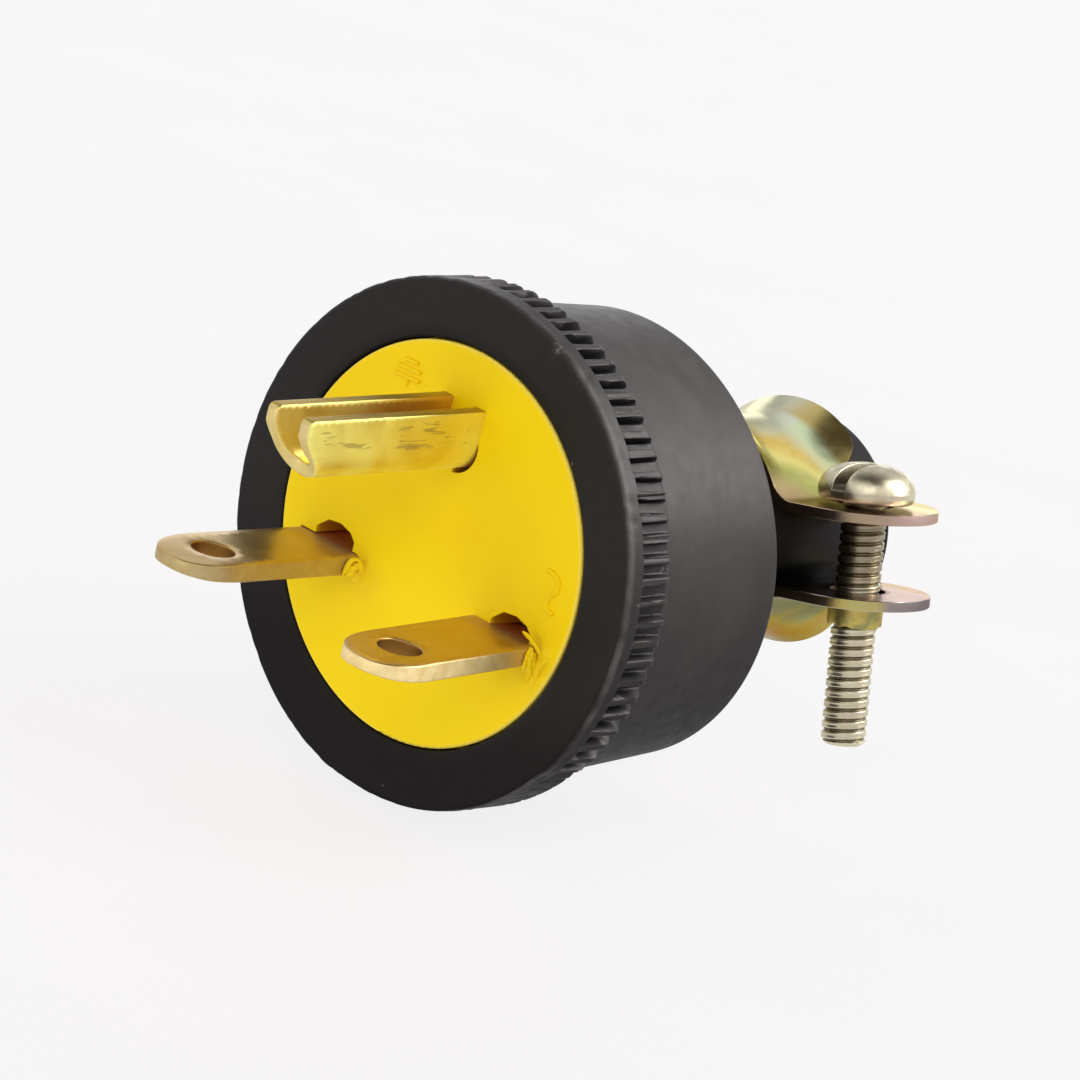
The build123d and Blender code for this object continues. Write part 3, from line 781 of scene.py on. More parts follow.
# ------------------------------------------------------------ materials
class Mat:
    """Small builder for a Principled material made of nodes."""

    def __init__(self, name):
        self.m = bpy.data.materials.new(name)
        self.m.use_nodes = True
        self.t = self.m.node_tree
        self.t.nodes.clear()
        self.out = self.t.nodes.new("ShaderNodeOutputMaterial")
        self.p = self.t.nodes.new("ShaderNodeBsdfPrincipled")
        self.t.links.new(self.p.outputs[0], self.out.inputs[0])
        self.coord = self.t.nodes.new("ShaderNodeTexCoord").outputs["Object"]

    def link(self, a, b):
        self.t.links.new(a, b)

    def mapping(self, scale=(1, 1, 1), rot=(0, 0, 0), loc=(0, 0, 0), src=None):
        n = self.t.nodes.new("ShaderNodeMapping")
        n.inputs["Scale"].default_value = scale
        n.inputs["Rotation"].default_value = rot
        n.inputs["Location"].default_value = loc
        self.link(src or self.coord, n.inputs["Vector"])
        return n.outputs[0]

    def noise(self, scale, detail=3.0, rough=0.55, distort=0.0, src=None):
        n = self.t.nodes.new("ShaderNodeTexNoise")
        n.inputs["Scale"].default_value = scale
        n.inputs["Detail"].default_value = detail
        n.inputs["Roughness"].default_value = rough
        n.inputs["Distortion"].default_value = distort
        self.link(src or self.coord, n.inputs["Vector"])
        return n.outputs["Fac"]

    def voronoi(self, scale, src=None, out="Distance", rand=1.0):
        n = self.t.nodes.new("ShaderNodeTexVoronoi")
        n.inputs["Scale"].default_value = scale
        n.inputs["Randomness"].default_value = rand
        self.link(src or self.coord, n.inputs["Vector"])
        return n.outputs[out]

    def ramp(self, src, stops):
        n = self.t.nodes.new("ShaderNodeValToRGB")
        el = n.color_ramp.elements
        while len(el) > 1:
            el.remove(el[-1])
        el[0].position, el[0].color = stops[0][0], self._c(stops[0][1])
        for pos, col in stops[1:]:
            e = el.new(pos)
            e.color = self._c(col)
        self.link(src, n.inputs[0])
        return n.outputs[0]

    @staticmethod
    def _c(c):
        return (c, c, c, 1.0) if isinstance(c, (int, float)) else (*c, 1.0)

    def math(self, op, a, b=None, clamp=False):
        n = self.t.nodes.new("ShaderNodeMath")
        n.operation = op
        n.use_clamp = clamp
        for k, q in ((0, a), (1, b)):
            if q is None:
                continue
            if isinstance(q, (int, float)):
                n.inputs[k].default_value = q
            else:
                self.link(q, n.inputs[k])
        return n.outputs[0]

    def span(self, src, a, b, lo=0.0, hi=1.0, smooth=True):
        n = self.t.nodes.new("ShaderNodeMapRange")
        n.interpolation_type = "SMOOTHSTEP" if smooth else "LINEAR"
        n.inputs["From Min"].default_value = a
        n.inputs["From Max"].default_value = b
        n.inputs["To Min"].default_value = lo
        n.inputs["To Max"].default_value = hi
        self.link(src, n.inputs["Value"])
        return n.outputs[0]

    def xyz(self, src=None):
        n = self.t.nodes.new("ShaderNodeSeparateXYZ")
        self.link(src or self.coord, n.inputs[0])
        return n.outputs

    def normal(self):
        """Surface direction in the object's own axes."""
        g = self.t.nodes.new("ShaderNodeTexCoord")
        return self.xyz(g.outputs["Normal"])

    def near(self, point_mm):
        n = self.t.nodes.new("ShaderNodeVectorMath")
        n.operation = "DISTANCE"
        self.link(self.coord, n.inputs[0])
        n.inputs[1].default_value = tuple(q * MM for q in point_mm)
        return n.outputs["Value"]

    def mix(self, fac, a, b, kind="MIX"):
        n = self.t.nodes.new("ShaderNodeMix")
        n.data_type = "RGBA"
        n.blend_type = kind
        for sock, q in ((n.inputs[0], fac), (n.inputs[6], a), (n.inputs[7], b)):
            if isinstance(q, (int, float)):
                sock.default_value = q if sock is n.inputs[0] else (q, q, q, 1.0)
            elif isinstance(q, tuple):
                sock.default_value = (*q, 1.0)
            else:
                self.link(q, sock)
        return n.outputs[2]

    def bump(self, height, dist, strength=1.0, chain=None):
        n = self.t.nodes.new("ShaderNodeBump")
        n.inputs["Strength"].default_value = strength
        n.inputs["Distance"].default_value = dist
        self.link(height, n.inputs["Height"])
        if chain is not None:
            self.link(chain, n.inputs["Normal"])
        return n.outputs[0]

    def set(self, **kw):
        for k, q in kw.items():
            sock = self.p.inputs[{"color": "Base Color", "rough": "Roughness", "metal": "Metallic", "normal": "Normal",
                                  "spec": "Specular IOR Level", "coat": "Coat Weight", "coat_rough": "Coat Roughness",
                                  "aniso": "Anisotropic", "sheen": "Sheen Weight", "sheen_rough": "Sheen Roughness"}[k]]
            if isinstance(q, (int, float)):
                sock.default_value = q
            elif isinstance(q, tuple):
                sock.default_value = (*q, 1.0)
            else:
                self.link(q, sock)


def rubber():
    k = Mat("black_rubber_moulded")
    x, y, z = k.xyz()
    r = k.math("SQRT", k.math("ADD", k.math("MULTIPLY", x, x), k.math("MULTIPLY", z, z)))
    side = k.span(y, 0.00004, 0.0007)
    broad = k.noise(60, 3, 0.5)
    mid = k.noise(900, 4, 0.6)
    fine = k.noise(5200, 3, 0.6)
    face_c = k.ramp(broad, [(0.3, (0.0084, 0.0074, 0.0070)), (0.7, (0.0112, 0.0098, 0.0094))])
    # painted shade: the front face is painted darker towards its bottom
    face_c = k.mix(k.span(z, -0.004, -0.015, 0.0, 0.75), face_c, (0.0060, 0.0052, 0.0050))
    _, _, nz = k.normal()
    # painted shade: down-facing sides get the darker low_c, up-facing sides the lighter side_c
    facing = k.span(nz, -0.75, 0.85)
    low_c = k.ramp(broad, [(0.25, (0.0074, 0.0064, 0.0060)), (0.75, (0.0098, 0.0085, 0.0080))])
    side_c = k.ramp(broad, [(0.25, (0.0245, 0.0218, 0.0213)), (0.75, (0.0298, 0.0271, 0.0264))])
    side_c = k.mix(k.span(y, 0.0022, 0.0013, 0.0, 0.78), side_c, (0.013, 0.0115, 0.0112))
    # hazy patches left by handling on the barrel
    side_c = k.mix(k.span(y, 0.0085, 0.0180, 0.0, 0.55), side_c, (0.0205, 0.0178, 0.0170))
    haze = k.math("MULTIPLY", k.span(k.noise(120, 4, 0.6, 0.7), 0.44, 0.64), k.math("MULTIPLY", k.span(y, 0.0058, 0.0070), k.span(y, 0.0185, 0.0150)))
    side_c = k.mix(k.math("MULTIPLY", haze, 0.62), side_c, (0.047, 0.0415, 0.0398))
    # painted shade: darker colour where the side faces down
    side_c = k.mix(facing, low_c, side_c)
    col = k.mix(side, face_c, side_c)
    # painted shade: the grooves between the ribs and the neck under the clamp are painted near black
    g = k.t.nodes.new("ShaderNodeAttribute")
    g.attribute_name = "slot"
    col = k.mix(k.span(g.outputs["Fac"], 0.15, 0.75, 0.0, 0.85), col, (0.005, 0.0045, 0.0045))
    # painted shade over the neck behind the barrel
    neck = k.math("MULTIPLY", k.span(y, 0.0185, 0.0200), k.span(r, 0.0167, 0.0156))
    col = k.mix(k.math("MULTIPLY", neck, 0.93), col, (0.0042, 0.0036, 0.0032))
    # paler edge of the flange: rubbed wear, and a painted highlight along the rounded rim
    edge = k.math("MULTIPLY", k.span(r, 0.0187, 0.0191), k.math("MULTIPLY", k.span(y, 0.00003, 0.00016), k.span(y, 0.0009, 0.0004)))
    edge = k.math("MULTIPLY", edge, k.span(k.noise(260, 3, 0.6), 0.38, 0.62, 0.25, 1.0))
    col = k.mix(k.math("MULTIPLY", edge, 0.60), col, (0.098, 0.090, 0.087))
    # dust caught on the front face and a few crumbs behind the ribs
    pr, pg, _ = k.xyz(k.voronoi(620, out="Color"))
    spot = k.math("MULTIPLY", k.span(k.voronoi(620), 0.10, 0.045), k.span(pr, 0.80, 0.84))
    spot = k.math("MULTIPLY", spot, k.span(y, 0.0062, 0.0055))
    col = k.mix(k.math("MULTIPLY", spot, 0.45), col, (0.16, 0.145, 0.135))
    crumbs = k.math("MULTIPLY", k.span(y, 0.0041, 0.0047), k.span(y, 0.0072, 0.0058))
    crumbs = k.math("MULTIPLY", crumbs, k.span(k.noise(2600, 3, 0.6), 0.60, 0.68))
    crumbs = k.math("MULTIPLY", crumbs, k.span(k.noise(95, 2), 0.46, 0.60))
    col = k.mix(k.math("MULTIPLY", crumbs, 0.5), col, (0.15, 0.14, 0.135))
    nick_mask = k.span(k.near(tuple(nick)), 0.00060, 0.00020)
    nick_mask = k.math("MULTIPLY", nick_mask, k.span(k.noise(3600, 2), 0.46, 0.56))
    col = k.mix(k.math("MULTIPLY", nick_mask, 0.45), col, (0.20, 0.185, 0.175))
    rough = k.mix(side, k.span(mid, 0.3, 0.7, 0.50, 0.58), k.span(mid, 0.3, 0.7, 0.44, 0.52))
    spec = k.math("MULTIPLY", k.span(nz, -0.7, 0.75, 0.05, 0.42), k.span(neck, 0.0, 1.0, 1.0, 0.45))
    spec = k.math("MULTIPLY", spec, k.mix(side, k.span(z, -0.013, 0.002, 0.5, 1.0), 1.0))
    b = k.bump(fine, 0.00002, 0.30)
    b = k.bump(mid, 0.00004, 0.25, b)
    b = k.bump(broad, 0.0009, 0.12, b)
    k.p.inputs["Specular Tint"].default_value = (1.0, 0.93, 0.91, 1.0)
    k.set(color=col, rough=rough, spec=spec, normal=b)
    return k.m


def yellow():
    k = Mat("yellow_moulded_plastic")
    x, y, z = k.xyz()
    broad = k.noise(75, 3, 0.5)
    mid = k.noise(520, 4, 0.6)
    fine = k.noise(4200, 2, 0.5)
    col = k.ramp(broad, [(0.25, (0.875, 0.580, 0.0030)), (0.5, (0.915, 0.642, 0.0035)), (0.78, (0.94, 0.672, 0.0055))])
    # darker, browner patches on the face round the two flash lumps
    face_darker_patch_right = k.math("MULTIPLY", k.span(k.near((12.9, 0.0, -4.9)), 0.0050, 0.0008), k.span(mid, 0.25, 0.7, 0.35, 1.0))
    col = k.mix(k.math("MULTIPLY", face_darker_patch_right, 0.50), col, (0.56, 0.33, 0.012))
    face_darker_patch_left = k.math("MULTIPLY", k.span(k.near((-5.4, 0.0, -4.6)), 0.0026, 0.0006), 0.40)
    col = k.mix(face_darker_patch_left, col, (0.62, 0.39, 0.02))
    pr, _, _ = k.xyz(k.voronoi(430, out="Color"))
    speck = k.math("MULTIPLY", k.span(k.voronoi(430), 0.075, 0.045), k.span(pr, 0.90, 0.93))
    col = k.mix(k.math("MULTIPLY", speck, 0.7), col, (0.16, 0.09, 0.01))
    r = k.math("SQRT", k.math("ADD", k.math("MULTIPLY", x, x), k.math("MULTIPLY", z, z)))
    # painted light: the lower part of the face is painted a brighter yellow
    col = k.mix(k.span(z, 0.002, -0.008, 0.0, 0.6), col, (0.95, 0.69, 0.0045))
    # painted highlight: the disc's rounded rim is painted paler
    rim = k.span(r, 0.01462, 0.01484)
    # painted shade: the slots behind the face are painted dark red-brown
    within = k.math("MULTIPLY", k.span(y, 0.00005, 0.00055), k.span(r, 0.01455, 0.01440))
    col = k.mix(k.math("MULTIPLY", within, 0.64), col, (0.44, 0.13, 0.020))
    col = k.mix(k.math("MULTIPLY", rim, 0.40), col, (0.93, 0.78, 0.20))
    rough = k.span(mid, 0.25, 0.75, 0.38, 0.50)
    b = k.bump(fine, 0.000012, 0.35)
    b = k.bump(mid, 0.00006, 0.30, b)
    b = k.bump(broad, 0.0008, 0.15, b)
    k.set(color=col, rough=rough, spec=0.10, normal=b)
    return k.m


def brass(name, scuffs=False, base=(0.70, 0.47, 0.12), pale_amount=0.8, hole=None, seed=0.0, pale_tone=1.0, root_mix=0.2, grain_mix=0.22):
    k = Mat(name)
    x, y, z = k.xyz()
    nx, ny, nz = k.normal()
    cut = k.span(k.math("ABSOLUTE", nz), 0.75, 0.35)
    grain = k.noise(700, 4, 0.65, src=k.mapping(scale=(4.0, 0.22, 4.0), loc=(seed, seed, 0)))
    patch = k.noise(180, 3, 0.5, 0.6, src=k.mapping(loc=(seed, 0.31 + seed, 0.2)))
    fine = k.noise(3600, 3, 0.6)
    dark = tuple(q * f for q, f in zip(base, (0.84, 0.78, 0.66)))
    lite = tuple(min(0.95, q * f) for q, f in zip(base, (1.12, 1.15, 1.35)))
    col = k.ramp(patch, [(0.28, dark), (0.5, base), (0.74, lite)])
    col = k.mix(k.span(grain, 0.40, 0.75, 0.0, grain_mix), col, (0.40, 0.25, 0.055))
    if hole is not None:
        dx = k.math("SUBTRACT", x, hole[0] * MM)
        dy = k.math("SUBTRACT", y, hole[1] * MM)
        rh = k.math("SQRT", k.math("ADD", k.math("MULTIPLY", dx, dx), k.math("MULTIPLY", dy, dy)))
        outside = k.span(rh, 0.0019, 0.0022)
        pale = k.ramp(k.noise(900, 3, 0.6), [(0.3, tuple(q * pale_tone for q in (0.66, 0.50, 0.22))), (0.7, tuple(q * pale_tone for q in (0.84, 0.69, 0.37)))])
        col = k.mix(k.math("MULTIPLY", k.math("MULTIPLY", cut, outside), pale_amount), col, pale)
        # painted shade: the wall of the hole is painted dark brown
        wall = k.math("MULTIPLY", k.math("MULTIPLY", cut, k.span(rh, 0.0021, 0.0019)), 0.92)
        col = k.mix(wall, col, (0.27, 0.125, 0.022))
    # painted dark reflection: brown where the contact leaves the face
    root = k.span(y, -0.0040, -0.0004)
    root = k.math("MULTIPLY", root, k.span(k.noise(420, 3), 0.3, 0.62, 0.35, 1.0))
    col = k.mix(k.math("MULTIPLY", root, root_mix), col, (0.36, 0.17, 0.05))
    # painted shade: below the face, inside the slot, the metal is painted brown
    col = k.mix(k.span(y, -0.0002, 0.0006, 0.0, 0.78), col, (0.74, 0.30, 0.09))
    rough = k.span(patch, 0.3, 0.7, 0.40, 0.52) if scuffs else k.mix(cut, k.span(patch, 0.3, 0.7, 0.33, 0.43), 0.50)
    if not scuffs:
        rough = k.mix(k.span(y, -0.0026, -0.0008), rough, 0.56)
    if scuffs:
        wander = k.math("ADD", z, k.math("MULTIPLY", k.math("SUBTRACT", k.noise(330, 2), 0.5), 0.0022))
        band = k.math("MULTIPLY", k.span(wander, 0.0083, 0.0088), k.span(wander, 0.0105, 0.0099))
        band = k.math("MULTIPLY", band, k.math("MULTIPLY", k.span(y, -0.0168, -0.0162), k.span(y, -0.0010, -0.0018)))
        band = k.math("MULTIPLY", k.math("MULTIPLY", band, k.span(nx, 0.6, 0.9)), k.span(x, 0.0012, 0.0016))
        mark = k.noise(1500, 2, 0.5, 0.2, src=k.mapping(scale=(1.0, 0.20, 1.6), rot=(0.05, 0, 0)))
        mark = k.span(mark, 0.55, 0.61)
        more = k.span(k.noise(260, 2, src=k.mapping(loc=(0, 0.137, 0))), 0.32, 0.42)
        mark = k.math("MULTIPLY", k.math("MULTIPLY", mark, more), band)
        top_edge = k.math("MULTIPLY", k.span(z, 0.0104, 0.0108), k.span(nz, 0.5, 0.9))
        col = k.mix(k.math("MULTIPLY", top_edge, 0.90), col, (0.42, 0.275, 0.055))
        # painted shade inside the fold, changing along the pin and deepest next to the face
        hollow = k.math("MULTIPLY", k.span(k.math("ABSOLUTE", k.math("SUBTRACT", x, PIN_X * MM)), 0.00132, 0.00120), k.span(z, 0.0068, 0.0071))
        col = k.mix(k.math("MULTIPLY", hollow, 0.72), col, k.ramp(k.span(y, -0.0175, -0.0005, 0.0, 1.0, smooth=False), [
            (0.0, (0.78, 0.60, 0.20)), (0.35, (0.90, 0.74, 0.25)), (0.62, (0.84, 0.60, 0.18)), (0.9, (0.72, 0.40, 0.11))]))
        nose = k.math("MULTIPLY", k.span(ny, -0.55, -0.85), k.span(patch, 0.25, 0.7, 0.7, 1.0))
        col = k.mix(k.math("MULTIPLY", nose, 0.75), col, (0.66, 0.47, 0.25))
        col = k.mix(k.math("MULTIPLY", mark, 0.50), col, (0.20, 0.12, 0.035))
        rough = k.mix(mark, rough, 0.55)
    b = k.bump(fine, 0.000010, 0.4)
    b = k.bump(grain, 0.000016, 0.4, b)
    b = k.bump(patch, 0.00015, 0.25, b)
    k.set(color=col, rough=rough, metal=1.0, normal=b)
    return k.m


def dotted(k, axis):
    n = k.t.nodes.new("ShaderNodeVectorMath")
    n.operation = "DOT_PRODUCT"
    k.link(k.coord, n.inputs[0])
    n.inputs[1].default_value = tuple(float(q) for q in axis)
    return n.outputs["Value"]


def passivate(name, seed, bands, sheen_v, edge_tone, grazing, funnel=False, slant=0.0):
    """Yellow iridescent passivate on zinc: colour bands across the sheet that wander with the coating."""
    k = Mat(name)
    _, y, _ = k.xyz()
    nx, ny, nz = k.normal()
    lateral = dotted(k, LAT)
    drift = k.noise(150, 2.5, 0.5, 0.6, src=k.mapping(loc=(seed, 0.3 * seed, -seed)))
    swirl = k.noise(420, 3, 0.55, 1.0, src=k.mapping(loc=(-seed, 0.17, seed)))
    across = k.math("SUBTRACT", lateral, k.math("MULTIPLY", k.math("SUBTRACT", y, CLAMP_Y * MM), slant))
    t = k.span(across, -0.020, 0.020, 0.0, 1.0, smooth=False)
    t = k.math("ADD", t, k.math("MULTIPLY", k.math("SUBTRACT", drift, 0.5), 0.16))
    t = k.math("ADD", t, k.math("MULTIPLY", k.math("SUBTRACT", swirl, 0.5), 0.05))
    col = k.ramp(t, bands)
    mint = k.math("MULTIPLY", k.span(y, (CLAMP_Y + sheen_v) * MM, (CLAMP_Y + sheen_v + 2.2) * MM), k.span(swirl, 0.3, 0.7, 0.45, 0.95))
    mint = k.math("MULTIPLY", mint, k.span(lateral, 0.0015, 0.0040))
    col = k.mix(mint, col, (0.64, 0.76, 0.47))
    gilt = k.math("MULTIPLY", k.span(y, (CLAMP_Y + 3.0) * MM, (CLAMP_Y + 4.2) * MM, 0.0, 0.85), k.span(lateral, -0.0005, 0.0030, 0.05, 1.0))
    col = k.mix(gilt, col, (0.50, 0.36, 0.10))
    fine = k.noise(4200, 3, 0.6)
    line = k.noise(900, 3, 0.6, src=k.mapping(scale=(0.35, 3.0, 0.35)))
    # sheared edges take a pinkish tone; along them the tone also holds painted shade, dark on the straight front edge,
    # and a painted highlight by the screw
    edge = k.span(k.math("ABSOLUTE", ny), 0.70, 0.92)
    tilt = k.math("ABSOLUTE", k.math("ADD", k.math("MULTIPLY", nx, float(NRM[0])), k.math("MULTIPLY", nz, float(NRM[2]))))
    ear = k.math("MULTIPLY", k.span(tilt, 0.62, 0.35), k.span(k.math("ABSOLUTE", lateral), 0.0098, 0.0112))
    edge = k.math("MAXIMUM", edge, ear)
    round_ear = k.math("ADD", lateral, k.math("SUBTRACT", y, CLAMP_Y * MM))
    place = k.span(round_ear, 0.0, 0.020, 0.0, 1.0, smooth=False)
    col = k.mix(k.math("MULTIPLY", edge, 0.92), col, k.ramp(place, edge_tone))
    if funnel:
        dh = k.math("SUBTRACT", k.math("ABSOLUTE", lateral), 0.013)
        dv = k.math("SUBTRACT", y, CLAMP_Y * MM)
        rr = k.math("SQRT", k.math("ADD", k.math("MULTIPLY", dh, dh), k.math("MULTIPLY", dv, dv)))
        # painted shade: the hole through the collar is painted near black
        inside_hole = k.math("MULTIPLY", k.span(rr, 0.00258, 0.00240), k.span(dotted(k, NRM), -0.0040, -0.0036))
        col = k.mix(k.math("MULTIPLY", inside_hole, 0.9), col, (0.05, 0.04, 0.025))
        tint = k.ramp(k.noise(420, 2, 0.5, 0.3), [(0.34, (0.30, 0.29, 0.11)), (0.46, (0.60, 0.47, 0.13)), (0.56, (0.42, 0.36, 0.13)), (0.65, (0.52, 0.38, 0.28))])
        skirt = k.math("MULTIPLY", k.span(rr, 0.00265, 0.00250), k.span(dotted(k, NRM), -0.0038, -0.0040))
        col = k.mix(k.math("MULTIPLY", skirt, 0.95), col, tint)
    rough = k.span(swirl, 0.3, 0.7, 0.16, 0.24)
    b = k.bump(fine, 0.000008, 0.4)
    b = k.bump(line, 0.000014, 0.35, b)
    rough = k.mix(edge, rough, 0.42)
    if funnel:
        k.link(k.mix(k.span(k.math("ABSOLUTE", lateral), 0.0085, 0.0105), grazing, (0.64, 0.55, 0.52)), k.p.inputs["Specular Tint"])
    else:
        k.p.inputs["Specular Tint"].default_value = (*grazing, 1.0)
    k.set(color=col, rough=rough, metal=1.0, normal=b)
    return k.m


def zinc_screw(seed, side, slot_deg):
    k = Mat("pale_passivated_screw_%d" % seed)
    drift = k.noise(190, 3, 0.5, 0.6, src=k.mapping(loc=(0.21 * seed, seed, 0.4)))
    fine = k.noise(4600, 3, 0.6)
    mid = k.noise(1300, 4, 0.6)
    g = k.t.nodes.new("ShaderNodeAttribute")
    g.attribute_name = "groove"
    col = k.ramp(drift, [(0.3, (0.54, 0.48, 0.34)), (0.48, (0.64, 0.58, 0.42)), (0.62, (0.70, 0.65, 0.49)), (0.75, (0.60, 0.52, 0.34))])
    col = k.mix(k.span(mid, 0.55, 0.78, 0.0, 0.30), col, (0.28, 0.23, 0.13))
    # painted shade: the thread's grooves are painted dark
    col = k.mix(k.span(g.outputs["Fac"], 0.30, 0.95, 0.0, 0.85), col, (0.075, 0.062, 0.036))
    # painted dark reflection on the head's crown, and painted shade in its slot
    nx, _, nz = k.normal()
    crown = k.math("ADD", k.math("MULTIPLY", nx, float(NRM[0])), k.math("MULTIPLY", nz, float(NRM[2])))
    over = dotted(k, NRM)
    crown = k.math("MULTIPLY", k.span(crown, 0.72, 0.95), k.span(over, 0.0050, 0.0054))
    col = k.mix(k.math("MULTIPLY", crown, k.span(mid, 0.25, 0.7, 0.25, 0.55)), col, (0.285, 0.24, 0.165))
    _, y, _ = k.xyz()
    dh = k.math("SUBTRACT", dotted(k, LAT), side * 0.013)
    dv = k.math("SUBTRACT", y, CLAMP_Y * MM)
    sa = math.radians(slot_deg)
    off_slot = k.math("ABSOLUTE", k.math("SUBTRACT", k.math("MULTIPLY", dv, math.cos(sa)), k.math("MULTIPLY", dh, math.sin(sa))))
    cutaway = k.math("MULTIPLY", k.span(off_slot, 0.00064, 0.00058), k.span(over, 0.0046, 0.0049))
    col = k.mix(k.math("MULTIPLY", cutaway, 0.84), col, (0.055, 0.045, 0.030))
    # painted shade: the shank between the two ears is painted darker
    col = k.mix(k.math("MULTIPLY", k.span(over, -0.0034, -0.0014), k.span(over, 0.0034, 0.0030, 0.0, 0.68)), col, (0.15, 0.115, 0.06))
    rough = k.span(mid, 0.3, 0.7, 0.28, 0.42)
    b = k.bump(fine, 0.000010, 0.45)
    b = k.bump(mid, 0.000020, 0.35, b)
    k.set(color=col, rough=rough, metal=1.0, normal=b)
    return k.m


def put(ob, mat):
    ob.data.materials.clear()
    ob.data.materials.append(mat)


rubber_m, yellow_m = rubber(), yellow()
put(shell, rubber_m)
put(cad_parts["contact_carrier"], yellow_m)
for ob in [flash_left, flash_right, earth_sign, wave_sign] + curls:
    put(ob, yellow_m)
put(blade_left, brass("blade_brass_left", base=(0.64, 0.47, 0.22), pale_amount=0.7, hole=(-9.25, -12.1), seed=0.013, pale_tone=0.66, root_mix=0.1))
put(blade_right, brass("blade_brass_right", base=(0.63, 0.44, 0.185), pale_amount=0.92, hole=(10.27, -12.1), seed=0.047, pale_tone=1.22))
put(earth, brass("earth_pin_brass", scuffs=True, base=(0.95, 0.86, 0.24), seed=0.09, root_mix=0.03, grain_mix=0.06))
upper_bands = [(0.30, (0.58, 0.61, 0.56)), (0.53, (0.62, 0.65, 0.58)), (0.58, (0.64, 0.63, 0.43)), (0.64, (0.72, 0.52, 0.15)),
               (0.69, (0.80, 0.72, 0.26)), (0.735, (0.46, 0.47, 0.16)), (0.80, (0.50, 0.35, 0.21)), (0.92, (0.52, 0.37, 0.31))]
lower_bands = [(0.30, (0.24, 0.28, 0.20)), (0.47, (0.46, 0.35, 0.13)), (0.515, (0.22, 0.31, 0.22)), (0.56, (0.47, 0.39, 0.14)), (0.60, (0.60, 0.27, 0.07)),
               (0.645, (0.50, 0.42, 0.14)), (0.69, (0.22, 0.30, 0.22)), (0.74, (0.34, 0.35, 0.26)), (0.80, (0.49, 0.40, 0.32)), (0.92, (0.50, 0.41, 0.37))]
upper_edge = [(0.20, (0.14, 0.090, 0.060)), (0.45, (0.14, 0.092, 0.068)), (0.49, (0.38, 0.28, 0.18)), (0.72, (0.44, 0.32, 0.23)), (0.80, (0.50, 0.35, 0.32))]
lower_edge = [(0.20, (0.13, 0.090, 0.050)), (0.45, (0.16, 0.110, 0.055)), (0.50, (0.58, 0.45, 0.12)), (0.60, (0.50, 0.46, 0.15)), (0.72, (0.52, 0.41, 0.16)),
              (0.79, (0.28, 0.24, 0.23)), (0.95, (0.18, 0.165, 0.170))]
put(upper_strap, passivate("strap_passivate_upper", 0.02, upper_bands, 0.3, upper_edge, (0.72, 0.68, 0.50), slant=0.45))
put(lower_strap, passivate("strap_passivate_lower", 0.37, lower_bands, 4.0, lower_edge, (0.55, 0.46, 0.30), True))
put(screw_near, zinc_screw(0, 1, 92.0))
put(screw_far, zinc_screw(1, -1, 40.0))
terminal_m = brass("terminal_brass", seed=0.2)
for name in ("line_terminal_screw_left", "line_terminal_screw_right", "earth_terminal_screw"):
    put(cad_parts[name], terminal_m)


# ------------------------------------------------------------ stage, light and camera
def floor_material():
    k = Mat("pale_floor")
    n = k.noise(14, 3, 0.5)
    col = k.ramp(n, [(0.3, (0.058, 0.057, 0.057)), (0.7, (0.063, 0.062, 0.062))])
    rough = k.span(k.noise(60, 3), 0.3, 0.7, 0.75, 0.85)
    k.set(color=col, rough=rough, spec=0.1)
    k.p.inputs["Emission Color"].default_value = (1.0, 0.985, 0.985, 1.0)
    k.p.inputs["Emission Strength"].default_value = 0.845
    return k.m


size = 6000.0
n = 12
gx = np.linspace(-size, size, n + 1)
fv = [(a, b, -20.2) for b in gx for a in gx]
ff = [(j * (n + 1) + i, j * (n + 1) + i + 1, (j + 1) * (n + 1) + i + 1, (j + 1) * (n + 1) + i) for j in range(n) for i in range(n)]
floor = new_object("studio_floor", fv, ff)
put(floor, floor_material())

world = bpy.data.worlds.new("studio")
scene.world = world
world.use_nodes = True
wt = world.node_tree
wt.nodes.clear()
wo = wt.nodes.new("ShaderNodeOutputWorld")
wb = wt.nodes.new("ShaderNodeBackground")
wc = wt.nodes.new("ShaderNodeTexCoord")
ws = wt.nodes.new("ShaderNodeSeparateXYZ")
wr = wt.nodes.new("ShaderNodeValToRGB")
el = wr.color_ramp.elements
el[0].position, el[0].color = 0.0, (0.74, 0.74, 0.74, 1)
el[1].position, el[1].color = 1.0, (0.050, 0.042, 0.033, 1)
for pos, v in ((0.10, 0.70), (0.22, 0.56), (0.34, 0.66), (0.50, 1.0), (0.78, 1.0), (0.85, 0.12)):
    e = el.new(pos)
    e.color = (v, v, v, 1)
wt.links.new(wc.outputs["Generated"], ws.inputs[0])
wt.links.new(ws.outputs["Z"], wr.inputs[0])
wt.links.new(wr.outputs[0], wb.inputs[0])
wt.links.new(wb.outputs[0], wo.inputs[0])
wb.inputs[1].default_value = 1.0


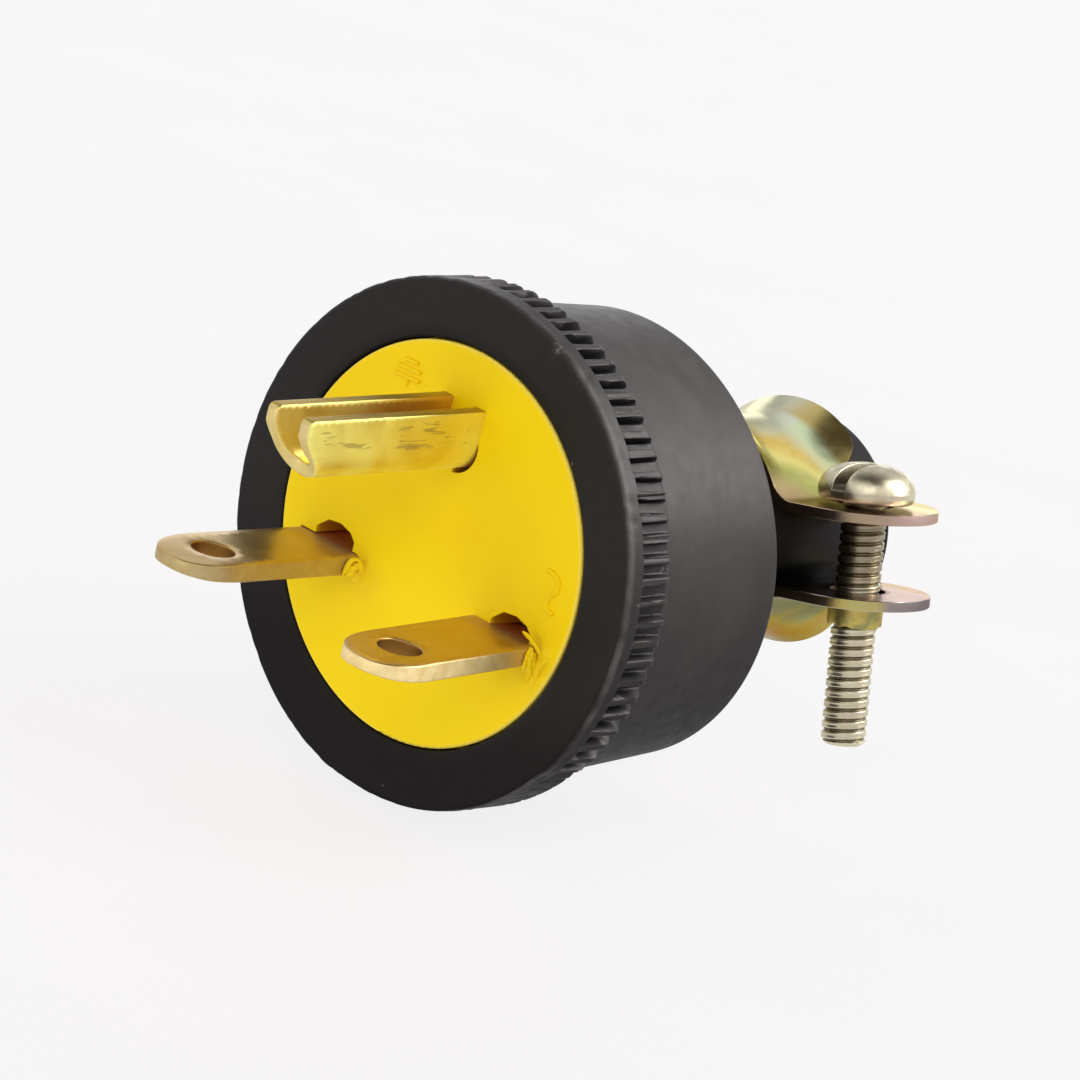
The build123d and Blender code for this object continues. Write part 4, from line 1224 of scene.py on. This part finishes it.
def area(name, place, target, w, h, power, colour=(1, 1, 1)):
    la = bpy.data.lights.new(name, "AREA")
    la.shape = "RECTANGLE"
    la.size, la.size_y = w, h
    la.energy = power
    la.color = colour
    ob = bpy.data.objects.new(name, la)
    scene.collection.objects.link(ob)
    ob.location = place
    ob.rotation_mode = "QUATERNION"
    ob.rotation_quaternion = (Vector(target) - Vector(place)).to_track_quat("-Z", "Y")
    return ob


# camera: where the plug is seen from, as a turn about its own axis and a distance
AZ, EL, ROLL, DIST, FOCAL, TX, TY, PHI = 42.145, 3.699, 0.301, 416.8, 5743.8, -8.139, -0.288, 18.524
a, e, ro, ph = (math.radians(q) for q in (AZ, EL, ROLL, PHI))
r = np.array([math.cos(a), math.sin(a), 0.0])
b = np.array([math.sin(a) * math.cos(e), -math.cos(a) * math.cos(e), math.sin(e)])
u = np.cross(b, r)
r2 = r * math.cos(ro) + u * math.sin(ro)
u2 = -r * math.sin(ro) + u * math.cos(ro)
centre = b * DIST - r2 * TX - u2 * TY
turn = np.array([[math.cos(ph), 0, -math.sin(ph)], [0, 1, 0], [math.sin(ph), 0, math.cos(ph)]])
right, up, back, centre = turn @ r2, turn @ u2, turn @ b, turn @ centre
cam_data = bpy.data.cameras.new("photo_camera")
cam = bpy.data.objects.new("photo_camera", cam_data)
scene.collection.objects.link(cam)
cam.matrix_world = Matrix((
    (right[0], up[0], back[0], centre[0] * MM), (right[1], up[1], back[1], centre[1] * MM),
    (right[2], up[2], back[2], centre[2] * MM), (0, 0, 0, 1)))
cam_data.sensor_width = 36.0
cam_data.lens = 36.0 * FOCAL / 1080.0
cam_data.clip_start, cam_data.clip_end = 0.01, 50.0
scene.camera = cam

aim = (0.0, 0.012, 0.0)


def studio(rx, ux, bx):
    """Point given along the camera's right, up and back, in metres from the plug."""
    p = right * rx + up * ux + back * bx
    return (float(p[0]), float(p[1]) + 0.012, float(p[2]))


area("front_soft_light", studio(0.02, 0.42, 0.85), aim, 0.6, 0.4, 1.1)
area("face_soft_light", studio(-0.75, -0.10, 0.65), aim, 0.6, 0.6, 3.1)
area("side_soft_light", studio(0.85, 0.42, 0.05), aim, 0.5, 0.7, 8.0)
area("rear_soft_light", (-0.66, 0.90, 0.11), aim, 1.0, 0.25, 1.2)

scene.view_settings.view_transform = "Standard"
scene.view_settings.look = "None"
scene.view_settings.exposure = 0.0
scene.view_settings.gamma = 1.0
